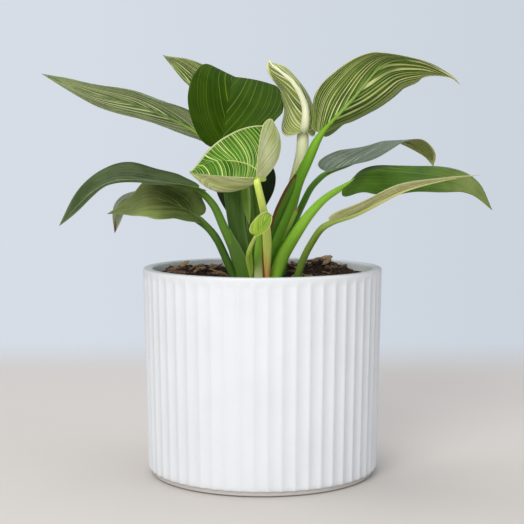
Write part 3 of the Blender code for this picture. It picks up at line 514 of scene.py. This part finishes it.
blade = {"rows": 96, "half": 20, "crowding": 0.4, "thickness": 0.45 * mm, "veinBend": 1.2, "veinSweep": 2.4,
    "leastCurl": 0.01, "quilts": 11, "quiltHeight": 0.12 * mm, "spread": 1.6, "driedTip": (104, 70, 48)}
rib = {"rows": 26, "reach": 0.84, "start": 1.3, "end": 0.3, "sunk": 0.85, "gap": 0.03}
stalk = {"rows": 44, "sides": 20, "foot": 122 * mm, "grooveDepth": 0.1, "grooveWidth": 0.5}
sheathRows, sheathSides = 40, 28


def alongMidrib(leaf, x):  # place, upper side and right side of the midrib at shares x of its length
    line = smoothCurve(leaf["midrib"], np.linspace(0, 1, 201)) * mm
    steps = np.linalg.norm(np.diff(line, axis=0), axis=1)
    reach = np.concatenate([[0], np.cumsum(steps)]) / steps.sum()
    inside = np.clip(x, 0, 1)
    headings = unit(np.gradient(line, axis=0))
    ahead = unit(np.stack([np.interp(inside, reach, column) for column in headings.T], -1))
    place = np.stack([np.interp(inside, reach, column) for column in line.T], -1)
    place = place + ahead * np.minimum(x, 0)[..., None] * steps.sum()
    upper = np.stack([softRead(inside, column) for column in np.array(leaf["facing"], float).T], -1)
    upper = unit(upper - (upper * ahead).sum(-1, keepdims=True) * ahead)
    return place, upper, np.cross(ahead, upper)


def bladeGrid(leaf, t, w):
    # Rows t follow a pair of side veins from margin to margin, w runs from -1 at the left margin to 1.
    # A point goes out from the midrib along an arc that starts at the fold angle and bends by the curl.
    left = smoothCurve(leaf.get("leftOutline", leaf["outline"]), t)[:, None]
    right = smoothCurve(leaf["outline"], t)[:, None]
    edge = np.where(w[:, None] < 0, left, right)
    middle = t[:, None] ** blade["veinSweep"]
    x = middle + (edge[..., 0] - middle) * np.abs(w) ** blade["veinBend"]
    place, upper, side = alongMidrib(leaf, x)
    share = edge[..., 1] * np.abs(w)
    halves = []
    for index, sign in ((0, -1), (1, 1)):
        halfWidth = leaf["halfWidth"][index] * mm
        out = share * halfWidth
        fold = np.radians(softRead(x, leaf["fold"][index]))
        curl = np.radians(softRead(x, leaf["curl"][index]))
        curl = np.where(np.abs(curl) < blade["leastCurl"], blade["leastCurl"], curl) / halfWidth
        across = (np.sin(fold + curl * out) - np.sin(fold)) / curl
        lift = (np.cos(fold) - np.cos(fold + curl * out)) / curl
        height, count = leaf["wave"]
        lift = lift + height * mm * np.sin(2 * np.pi * count * x + sign) * share**2
        halves.append((place + side * (sign * across)[..., None] + upper * lift[..., None], out))
    grid = np.where(w[:, None] < 0, halves[0][0], halves[1][0])
    out = np.where(w < 0, halves[0][1], halves[1][1])
    return grid, x, out


def bladeSurface(leaf):
    # The middle surface is offset both ways by half its thickness, less towards the margin, where both meet.
    # Side veins are the lines of equal v = 1 - (1 - t) / (1 - sweep |w|^bend): they leave the midrib, or the
    # base where v is below 0, and lean towards the tip. Below 0, v becomes -log(1 - spread v) / spread.
    # Where the colour's middle is off the midrib, w is counted from there and t is the place along the midrib.
    rows, half = blade["rows"], blade["half"]
    t = np.linspace(0, 1, rows + 1)
    even = np.linspace(-1, 1, 2 * half + 1)
    w = (1 - blade["crowding"]) * even + blade["crowding"] * np.sin(np.pi / 2 * even)
    grid, x, out = bladeGrid(leaf, t[1:-1], w)
    base, tip = (np.array(leaf["midrib"][k]) * mm for k in (0, -1))
    whole = np.concatenate([np.broadcast_to(base, grid[:1].shape), grid, np.broadcast_to(tip, grid[:1].shape)])
    upward = unit(np.cross(np.gradient(whole, axis=1), np.gradient(whole, axis=0))[1:-1])
    inner = t[1:-1, None]
    (sweep, bend), centre = leaf["sweep"], leaf["centre"]
    lean = (w - centre) / (1 - centre * np.sign(w - centre))
    start = inner if centre == 0 else x
    vein = 1 - (1 - start) / (1 - sweep * np.abs(lean) ** bend)
    vein = np.where(vein < 0, -np.log1p(np.maximum(-vein, 0) * blade["spread"]) / blade["spread"], vein)
    body = np.sqrt(1 - w**8) * np.clip(np.minimum(inner, 1 - inner) * 16, 0.1, 1)
    quilt = np.sin(2 * np.pi * blade["quilts"] * vein) * np.abs(w) * (1 - w**4) * blade["quiltHeight"]
    middle = grid + upward * (quilt * np.clip(inner * 8, 0, 1))[..., None]
    rise = upward * (0.5 * blade["thickness"] * body)[..., None]
    count, columns = (rows - 1) * len(w), len(w)
    top = np.arange(count).reshape(rows - 1, columns)
    bottom = top.copy()
    bottom[:, 1:-1] = count + np.arange((rows - 1) * (columns - 2)).reshape(rows - 1, columns - 2)
    baseIndex = bottom.max() + 1
    tipIndex = baseIndex + 1
    points = np.vstack([(middle + rise).reshape(-1, 3), (middle - rise)[:, 1:-1].reshape(-1, 3), base, tip])
    faces = []
    for index, turnOver in ((top, False), (bottom, True)):
        a, b, c, d = index[:-1, :-1], index[:-1, 1:], index[1:, 1:], index[1:, :-1]
        quads = np.stack([a, b, c, d], -1).reshape(-1, 4)
        first, last = index[0], index[-1]
        start = np.column_stack([np.full(columns - 1, baseIndex), first[1:], first[:-1]])
        end = np.column_stack([np.full(columns - 1, tipIndex), last[:-1], last[1:]])
        faces += [block[:, ::-1] if turnOver else block for block in (quads, start, end)]

    def both(values, atTip=0):  # for the points of both sides, the base and the tip
        values = np.broadcast_to(values, (rows - 1, columns))
        return np.concatenate([values.ravel(), values[:, 1:-1].ravel(), [0, atTip]])

    below = np.zeros(len(points))
    below[count:-2] = 1
    inset = out / mm / np.maximum(np.abs(w), 0.02) * (1 - np.abs(w))
    marks = {
        "below": below,
        "vein": np.column_stack([both(vein, 1), both(lean), both(inner, 1)]),
        "lay": np.column_stack([both(x, 1), both(out / mm), both(inset)]),
    }
    return points, faces, marks


def stalkRod(leaf):
    # One stem from under the blade's midrib, out at its base and down into the soil, grooved along its upper side
    x = np.linspace(rib["reach"], rib["gap"], rib["rows"])
    place, upper = alongMidrib(leaf, x)[:2]
    start = leaf.get("ribRadius", min(rib["start"], 0.8 * leaf["stalkRadius"][0]))
    ribRadii = np.interp(x, (0, rib["reach"]), (start, rib["end"]))
    under = place - upper * (rib["sunk"] * ribRadii * mm * np.clip(x / 0.08, 0, 1))[:, None]
    at = np.linspace(rib["gap"], 1, stalk["rows"])
    stem = smoothCurve([leaf["midrib"][0], *leaf["stalk"]], at) * mm
    stemRadii = softRead(at, leaf["stalkRadius"])
    path = np.vstack([under, stem, [*stem[-1, :2], stalk["foot"]]])
    radii = np.concatenate([ribRadii, stemRadii, stemRadii[-1:]])
    blend = np.array([1, 2, 3, 2, 1]) / 9
    rounded = np.column_stack([np.convolve(column, blend, "same") for column in [*path.T, radii]])
    path[4:-4], radii[4:-4] = rounded[4:-4, :3], rounded[4:-4, 3]
    side = alongMidrib(leaf, np.array([0.02]))[2][0]
    return rod(path, radii * mm, side, stalk["sides"],
        lambda angle: 1 - stalk["grooveDepth"] * np.exp(-((angle - np.pi / 2) / stalk["grooveWidth"]) ** 2))


def sheathRod(sheath):  # a flat stem, its section an ellipse as thick as thin says
    at = np.linspace(0, 1, sheathRows)
    path, halfWidth = smoothCurve(sheath["path"], at) * mm, softRead(at, sheath["halfWidth"]) * mm
    return rod(path, halfWidth, np.array([1.0, 0, 0]), sheathSides,
        lambda angle: 1 / np.sqrt(np.cos(angle) ** 2 + (np.sin(angle) / sheath["thin"]) ** 2))


def stripes(skin, vein, count, cover, seed):
    # thin lines along the veins; each has its own place, width, strength and fading, drawn from its number
    v, w, t = skin.parts(vein)
    wander = skin.noise(skin.join(v * 3, w * 1.1, seed), 1, 1)
    half = w.step(-0.001, 0.001)
    at = v * count + wander * 0.9 + half * 37.4 + seed
    number = at.whole()
    first, second, third = skin.lot(number), skin.lot(number + 0.5), skin.lot(number + 0.25)
    fade = skin.noise(skin.join(number * 3.7, w * 2, t * 2.5), 1, 1).step(0.32, 0.5)
    wide = (first * 0.75 + 0.25) * (cover * 0.5)
    off = abs(at - number - (second * 0.4 + 0.3))
    line = 1 - (off / wide).step(0.7, 1.15)
    return line * (third * 0.5 + 0.5) * (fade * 0.6 + 0.4)


def leafBlade(name, leaf):  # stripes along the side veins, midrib, margin, and a duller underside
    skin = Finish(name, {"IOR": 1.42, "Specular IOR Level": leaf["gloss"]})
    vein = skin.mark("vein", "Vector")
    x, out, inset = skin.parts(skin.mark("lay", "Vector"))
    below = skin.mark("below").step(0.3, 0.7)
    place = skin.place()
    seed = leaf["seed"]
    count, cover = leaf["stripes"]
    clouds = skin.noise(place, 70, 2)
    grain = skin.noise(skin.stretch(vein, (count * 1.6, 1.2, 1)), 1, 2)
    field = (grain * 0.5 + clouds * 0.5).step(0.36, 0.64)
    thick = stripes(skin, vein, count, cover, seed)
    thin = stripes(skin, vein, count * 2.1, cover * 0.8, seed + 11)  # a finer set between them
    line = thick + thin * (1 - thick) * leaf["thin"]
    sides = []
    for (green, dark, stripe), show in zip((leaf["top"], leaf["under"]), leaf["show"]):
        side = skin.mix(field, dark, green)
        if "far" in leaf:  # the blade turns this colour between two shares of its length
            shade, first, last = leaf["far"]
            side = skin.mix(x.step(first, last) * (0.5 + field * 0.4), side, shade)
        sides.append(skin.mix(line * show, side, stripe))
    colour = skin.mix(below, *sides)
    width, strength = leaf["ribLine"]
    midrib = (1 - out.step(0.3, width)) * (1 - x.step(0.7, 1.0)) * strength
    colour = skin.mix(midrib, colour, leaf["rib"][0])
    width, strength = leaf["margin"]
    colour = skin.mix((1 - inset.step(width * 0.5, width)) * strength, colour, leaf["edge"])
    if "tip" in leaf:  # dried from this share of the length on
        colour = skin.mix(skin.parts(vein)[2].step(leaf["tip"], leaf["tip"] + 0.1), colour, blade["driedTip"])
    relief = grain + skin.noise(place, 2600, 2) * 0.12 - line * 0.25 - midrib * 0.6
    return skin.cover(colour, leaf["rough"] + below * 0.1 + clouds * 0.1, relief, 0.35, 0.0004)


def leafStalk(name, leaf):  # tones from the foot to the blade, with fine streaks along it
    skin = Finish(name, {"IOR": 1.42, "Specular IOR Level": 0.3})
    around, share = skin.mark("around", "Vector"), skin.mark("share")
    streaks = skin.noise(skin.stretch(around, (4, 4, 0.35)), 1, 3)
    fine = skin.noise(skin.stretch(around, (12, 12, 0.6)), 1, 2)
    foot, middle, top = leaf["stalkTones"]
    colour = skin.mix(share.step(0.35, 0.7), top, middle)
    colour = skin.mix(share.step(0.78, 0.98), colour, foot)
    colour = skin.mix((1 - share.step(0.25, 0.5)) * 0.85, colour, leaf["rib"][1])
    colour = skin.mix(streaks.step(0.35, 0.65) * 0.7, colour, skin.bright(colour, 0.8))
    colour = skin.mix(fine.step(0.5, 0.75) * 0.6, colour, skin.bright(colour, 1.15))
    return skin.cover(colour, 0.38 + streaks * 0.2, streaks * 0.6 + fine * 0.4, 0.3, 0.0004)


def leafSheath(name, sheath):  # a streaked green sheath with a dried edge on one side and a dried tip
    skin = Finish(name, {"IOR": 1.42, "Specular IOR Level": 0.2})
    around, share = skin.mark("around", "Vector"), skin.mark("share")
    across = skin.parts(around)[0] * sheath["drySide"]
    streaks = skin.noise(skin.stretch(around, (7, 7, 0.4)), 1, 3)
    top, foot, dry = sheath["tones"]
    colour = skin.mix(share.step(0.35, 0.95), top, foot)
    colour = skin.mix(streaks.step(0.4, 0.62) * sheath["streaks"], colour, skin.bright(colour, 0.72))
    colour = skin.mix(across.step(*sheath["dryEdge"]), colour, dry)
    colour = skin.mix(1 - share.step(sheath["dryTip"], sheath["dryTip"] + 0.04), colour, dry)
    return skin.cover(colour, 0.45 + streaks * 0.2, streaks, 0.4, 0.0004)


for node, own in leaves.items():
    leaf = {**usual, **own}
    for part, shape, finish in (("blade", bladeSurface, leafBlade), ("stalk", stalkRod, leafStalk)):
        title = node.replace("leaf_", "") + part.title()
        meshPiece(f"{node}_{part}", shape(leaf), finish(title, leaf), node)
for name, sheath in sheaths.items():
    node = name.rsplit("_", 1)[0]
    meshPiece(name, sheathRod(sheath), leafSheath(name.replace("leaf_", ""), sheath), node)
print("leaves grown:", len(leaves), "sheaths:", len(sheaths))


# Soil: an uneven top on a closed body, then bark, crumbs and fibres scattered over it by a seeded draw

soil = {
    "level": 131.5, "edge": 72.9, "bottom": 110, "rings": 84, "turns": 260, "seed": 11,
    "bark": (64, 64, 8), "crumbs": (1500, 71, 3), "fibres": (110, 66, 5),  # count, furthest out, clear of stalks
    # place, height and spread of each heap
    "heaps": ((41, 30, 8.5, 10), (52, 12, 3.0, 12), (-38, 40, 3.0, 12), (-52, 22, 2.5, 10), (14, 48, 4.0, 10),
        (-64, 20, 2.4, 8)),
    "dark": (30, 21, 17), "brown": (88, 62, 45), "tan": (182, 150, 114), "purple": (70, 50, 48),
}


def soilHeight(x, y):  # heaps of bark on a level that is slightly uneven, in mm
    rise = 0.5 * np.sin(0.19 * x + 1.3) * np.cos(0.23 * y) + 0.4 * np.sin(0.41 * y + 0.11 * x)
    for heapX, heapY, height, spread in soil["heaps"]:
        rise = rise + height * np.exp(-((x - heapX) ** 2 + (y - heapY) ** 2) / (2 * spread**2))
    return soil["level"] + rise * np.clip((73 - np.hypot(x, y)) / 5, 0, 1)


def lumps(x, y, count, shortest, longest, seed):  # a sum of waves with drawn directions and lengths
    draw = np.random.default_rng(seed)
    heading, phase = draw.uniform(0, 2 * np.pi, (2, count))
    length = draw.uniform(shortest, longest, count)
    along = x[..., None] * np.cos(heading) + y[..., None] * np.sin(heading)
    return np.sin(2 * np.pi * along / length + phase).sum(-1) / np.sqrt(count)


def turns(angles):  # rotation matrices, one for each row of three angles, about X, then Y, then Z
    (ca, cb, cc), (sa, sb, sc) = np.cos(angles).T, np.sin(angles).T
    rows = [[cb * cc, sa * sb * cc - ca * sc, ca * sb * cc + sa * sc],
        [cb * sc, sa * sb * sc + ca * cc, ca * sb * sc - sa * cc],
        [-sb, sa * cb, ca * cb]]
    return np.moveaxis(np.array(rows), -1, 0)


def strew(draw, shapes, faces, sizes, angles, places):
    # shapes (n, points, 3) are stretched, turned and moved to their places, and each gets a drawn tint
    count, size = shapes.shape[:2]
    points = np.einsum("nij,npj->npi", turns(angles), shapes * sizes[:, None]) + places[:, None]
    shift = (np.arange(count) * size)[:, None, None]
    faces = [(block[None] + shift).reshape(-1, block.shape[1]) for block in faces]
    return points.reshape(-1, 3) * mm, faces, {"tint": np.repeat(draw.uniform(0, 1, count), size)}


def drawPlaces(draw, count, furthest, clear):  # places on the soil, half on the heaps, clear of the stalks
    feet = np.array([leaf["stalk"][-1][:2] for leaf in leaves.values()], float)
    heaps, tries = np.array(soil["heaps"]), 8 * count
    heap = heaps[draw.integers(len(heaps), size=tries)]
    heaped = draw.normal(heap[:, :2], heap[:, 3:] * 0.9)
    angle, radius = draw.uniform(0, 2 * np.pi, tries), furthest * np.sqrt(draw.uniform(0, 1, tries))
    spread = np.column_stack([radius * np.cos(angle), radius * np.sin(angle)])
    chosen = np.where((np.arange(tries) % 2)[:, None] == 0, heaped, spread)
    away = np.linalg.norm(chosen[:, None] - feet, axis=-1).min(1)
    chosen = chosen[(away > clear) & (np.hypot(*chosen.T) < furthest)][:count]
    return np.column_stack([chosen, soilHeight(*chosen.T)])


def barkPieces(draw):
    # A shard is a six-sided bar in six stations, jittered, thinner at its ends. Ten are listed, four of them with
    # their own size and turn.
    places = drawPlaces(draw, *soil["bark"])
    laid = np.array([[40, 29, 140.3], [47, 26, 138.2], [33, 34, 137.6], [50, 33, 136.5], [-40, 42, 134.8],
        [-52, 30, 134.2], [-30, 47, 134.4], [16, 36, 134.0], [22, 40, 134.5], [-60, 24, 133.6]])
    places = np.vstack([laid, places + [0, 0, 0.6]])
    count = len(places)
    station = np.linspace(-0.5, 0.5, 6)
    taper = np.array([0.45, 0.85, 1, 0.95, 0.8, 0.35])
    angle = circle(6)
    ring = np.stack([0 * angle, np.cos(angle) * 0.5, np.sin(angle) * 0.5], -1)
    bar = ring * taper[:, None, None] + station[:, None, None] * [1, 0, 0]
    shapes = bar + draw.normal(0, 0.06, (count, 6, 6, 3))
    ends = np.stack([shapes[:, 0].mean(1), shapes[:, -1].mean(1)], 1)
    shapes = np.concatenate([shapes.reshape(count, 36, 3), ends], 1)
    sizes = np.column_stack([draw.uniform(6, 15, count), draw.uniform(3, 6.5, count), draw.uniform(1.2, 2.8, count)])
    sizes[:4] = [[17, 9, 3.5], [20, 6, 3], [15, 6, 3], [12, 5, 2.4]]
    angles = np.column_stack([draw.uniform(-0.5, 0.5, (count, 2)), draw.uniform(0, np.pi, count)])
    angles[:4] = [[0.5, -0.3, 0.3], [0.2, 0.35, -0.1], [-0.3, -0.5, 0.5], [0.2, 0.4, 0.1]]
    return strew(draw, shapes, closedFaces(6, 6), sizes, angles, places)


def crumbPieces(draw):  # a crumb is an icosahedron with its corners pushed in and out
    places = drawPlaces(draw, *soil["crumbs"])
    count = len(places)
    golden = (1 + np.sqrt(5)) / 2
    four = np.array([[-1, golden, 0], [1, golden, 0], [-1, -golden, 0], [1, -golden, 0]]) / 1.9
    corner = np.concatenate([np.roll(four, turn, axis=1) for turn in range(3)])
    faces = np.array([[0, 11, 5], [0, 5, 1], [0, 1, 7], [0, 7, 10], [0, 10, 11], [1, 5, 9], [5, 11, 4], [11, 10, 2],
        [10, 7, 6], [7, 1, 8], [3, 9, 4], [3, 4, 2], [3, 2, 6], [3, 6, 8], [3, 8, 9], [4, 9, 5], [2, 4, 11],
        [6, 2, 10], [8, 6, 7], [9, 8, 1]])
    shapes = corner + draw.normal(0, 0.16, (count, 12, 3))
    sizes = draw.uniform(0.5, 1.3, (count, 1)) * draw.uniform(0.6, 1.3, (count, 3))
    return strew(draw, shapes, [faces], sizes, draw.uniform(0, 6.3, (count, 3)), places + [0, 0, 0.3])


def fibrePieces(draw):  # a fibre is a thin arc of a circle, three-sided
    places = drawPlaces(draw, *soil["fibres"])
    count = len(places)
    span = draw.uniform(0.6, 2.4, (count, 1))
    bow = draw.uniform(3, 8, (count, 1)) / span
    at = np.linspace(-0.5, 0.5, 9)
    line = np.stack([bow * np.sin(span * at), bow * (1 - np.cos(span * at)), 0 * at * span], -1)
    line = line + draw.normal(0, 0.12, line.shape)
    along = unit(np.gradient(line, axis=1))
    across = unit(np.cross(along, [0, 0, 1.0]))
    other = np.cross(along, across)
    thick = draw.uniform(0.12, 0.3, (count, 1, 1, 1)) * np.array([0.3, 1, 1, 1, 1, 1, 1, 1, 0.3])[:, None, None]
    angle = circle(3)[:, None]
    ring = np.cos(angle) * across[:, :, None] + np.sin(angle) * other[:, :, None]
    shapes = (line[:, :, None] + ring * thick).reshape(count, 27, 3)
    tilt = np.column_stack([draw.uniform(0, 6.3, count), draw.uniform(-0.5, 0.5, count), draw.uniform(0, 6.3, count)])
    faces = [ringFaces(9, 3), np.array([[2, 1, 0], [24, 25, 26]])]
    return strew(draw, shapes, faces, np.ones((count, 3)), tilt, places + [0, 0, 1.2])


def earthy(name, low, high, scale, rough=0.9):  # matt mottled brown, each piece with its own tint
    earth = Finish(name, {"IOR": 1.4})
    place = earth.place()
    tint = earth.mark("tint")
    grain = earth.noise(place, scale, 4, 0.65)
    coarse = earth.noise(place, scale * 0.2, 3)
    colour = earth.mix((grain * 0.55 + coarse * 0.25 + tint * 0.35).step(0.3, 0.85), low, high)
    return earth.cover(colour, rough - grain * 0.15, grain, 0.8, 0.0008)


def soilBody():
    # a flat plug turned round Z, whose top is lifted to the soil's height with fine and coarse lumps
    edge, bottom, level = soil["edge"], soil["bottom"], soil["level"]
    rings = np.concatenate([np.linspace(0, edge - 1, soil["rings"]), [edge]])
    profile = [(0, bottom), (edge - 0.6, bottom), (edge, level - 4)]
    profile = np.vstack([profile, np.column_stack([rings[::-1], np.full(len(rings), level)])])
    points, faces = turned(profile, soil["turns"], lambda radius, height, angle: 0 * angle)[:2]
    x, y = points[:, 0], points[:, 1]
    fade = np.clip((edge - np.hypot(x, y)) / 2, 0, 1)
    rough = lumps(x, y, 30, 5, 13, 3) * 0.5 + lumps(x, y, 40, 1.6, 4, 4) * 0.28
    onTop = points[:, 2] > level - 0.1
    points[:, 2] = np.where(onTop, soilHeight(x, y) + rough * fade - 0.3, points[:, 2])
    return points * mm, faces, {"tint": np.zeros(len(points))}


draw = np.random.default_rng(soil["seed"])
earth = earthy("pottingMix", soil["dark"], soil["brown"], 1500, 0.95)
meshPiece("soil_bed", soilBody(), earth, "potting_soil")
for name, make, low, high, scale in (
    ("bark_shards", barkPieces, "purple", "tan", 700),
    ("soil_crumbs", crumbPieces, "dark", "brown", 1200),
    ("soil_fibres", fibrePieces, "brown", "tan", 900),
):
    earth = earthy(name.title().replace("_", ""), soil[low], soil[high], scale)
    meshPiece(name, make(draw), earth, "potting_soil", smooth=name != "soil_crumbs")
print("soil laid")


# Studio: a pale floor, brightened towards the back as painted light, that fades out behind the pot, soft lights and
# the photograph's camera

studio = {
    # the far floor colour is painted light: the floor brightens towards the back
    "floor": (223, 215, 207), "floorShade": (218, 210, 202), "floorFarPaintedLight": (226, 218, 211),
    "airLeft": (214, 221, 230), "airRight": (203, 211, 221), "airSpan": (-0.15, 0.2),
    "airSeen": 1.0, "airLight": 0.62,
    "floorFront": -2.6, "floorBack": 0.72, "floorSide": 2.6, "fade": (0.36, 0.62),
    "cameraPlace": (-0.0003, -0.90, 0.2181), "cameraPitch": -4.85, "lens": 92.27, "sensor": 36,
}
lights = {  # place, what it points at, size, power, colour
    "keyLight": ((-0.62, -1.75, 1.0), (0, 0, 0.12), 1.1, 23, (1.0, 0.99, 0.97)),
    "fillLight": ((1.5, -0.9, 0.8), (0, 0, 0.15), 1.5, 3.5, (0.95, 0.98, 1.0)),
    "topLight": ((-0.1, 0.3, 1.6), (0, 0, 0.15), 1.2, 8.5, (1.0, 1.0, 1.0)),
}


def makeFloor():
    side, front, back = studio["floorSide"], studio["floorFront"], studio["floorBack"]
    mesh = bpy.data.meshes.new("studio_floor")
    mesh.from_pydata([(-side, front, 0), (side, front, 0), (side, back, 0), (-side, back, 0)], [], [(0, 1, 2, 3)])
    paper = Finish("palePaper", {"Roughness": 0.85})
    place = paper.place()
    depth = paper.parts(place)[1]
    solid, clear = Signal(paper, paper.shader.outputs[0]), paper.node("BsdfTransparent", {}, {})
    blended = paper.node("MixShader", {}, {0: depth.step(*studio["fade"]), 1: solid, 2: clear})
    near = paper.mix(paper.noise(place, 3, 2) * 0.3, studio["floor"], studio["floorShade"])
    # painted light: the floor's colour brightens towards the back, where the lamps reach less
    paper.feed({"Base Color": paper.mix(depth.step(-0.2, 0.4), near, studio["floorFarPaintedLight"])})
    paper.fill(paper.tree.nodes["Material Output"], {"Surface": blended})
    mesh.materials.append(paper.owner)
    placed("studio_floor", mesh)


def makeAir():  # a pale wall all round, which lights the plant less than it shows
    air = Finish("studioAir", {}, forWorld=True)
    rightwards = air.parts(air.node("TexCoord", {}, {}, "Generated"))[0]
    left, right = studio["airSpan"]
    across = air.node("MapRange", {}, {"Value": rightwards, "From Min": left, "From Max": right})
    seen = air.node("LightPath", {}, {}, "Is Camera Ray")
    dim, full = studio["airLight"], studio["airSeen"]
    air.feed({
        "Color": air.mix(across, studio["airLeft"], studio["airRight"]),
        "Strength": air.node("MapRange", {}, {"Value": seen, "To Min": dim, "To Max": full}),
    })
    bpy.context.scene.world = air.owner
    bpy.context.scene.view_settings.view_transform = "Standard"


def makeLights():
    for name, (place, target, size, power, colour) in lights.items():
        lamp = bpy.data.lights.new(name, "AREA")
        lamp.shape, lamp.size, lamp.energy, lamp.color = "DISK", size, power, colour
        thing = placed(name, lamp)
        thing.location = place
        thing.rotation_euler = (Vector(target) - Vector(place)).to_track_quat("-Z", "Y").to_euler()


def makeCamera():
    lens = bpy.data.cameras.new("photoCamera")
    lens.lens = studio["lens"]
    lens.sensor_width = studio["sensor"]
    camera = placed("photoCamera", lens)
    camera.location = studio["cameraPlace"]
    camera.rotation_euler = (np.radians(90 + studio["cameraPitch"]), 0, 0)
    bpy.context.scene.camera = camera


makeFloor()
makeAir()
makeLights()
makeCamera()
bpy.context.view_layer.update()
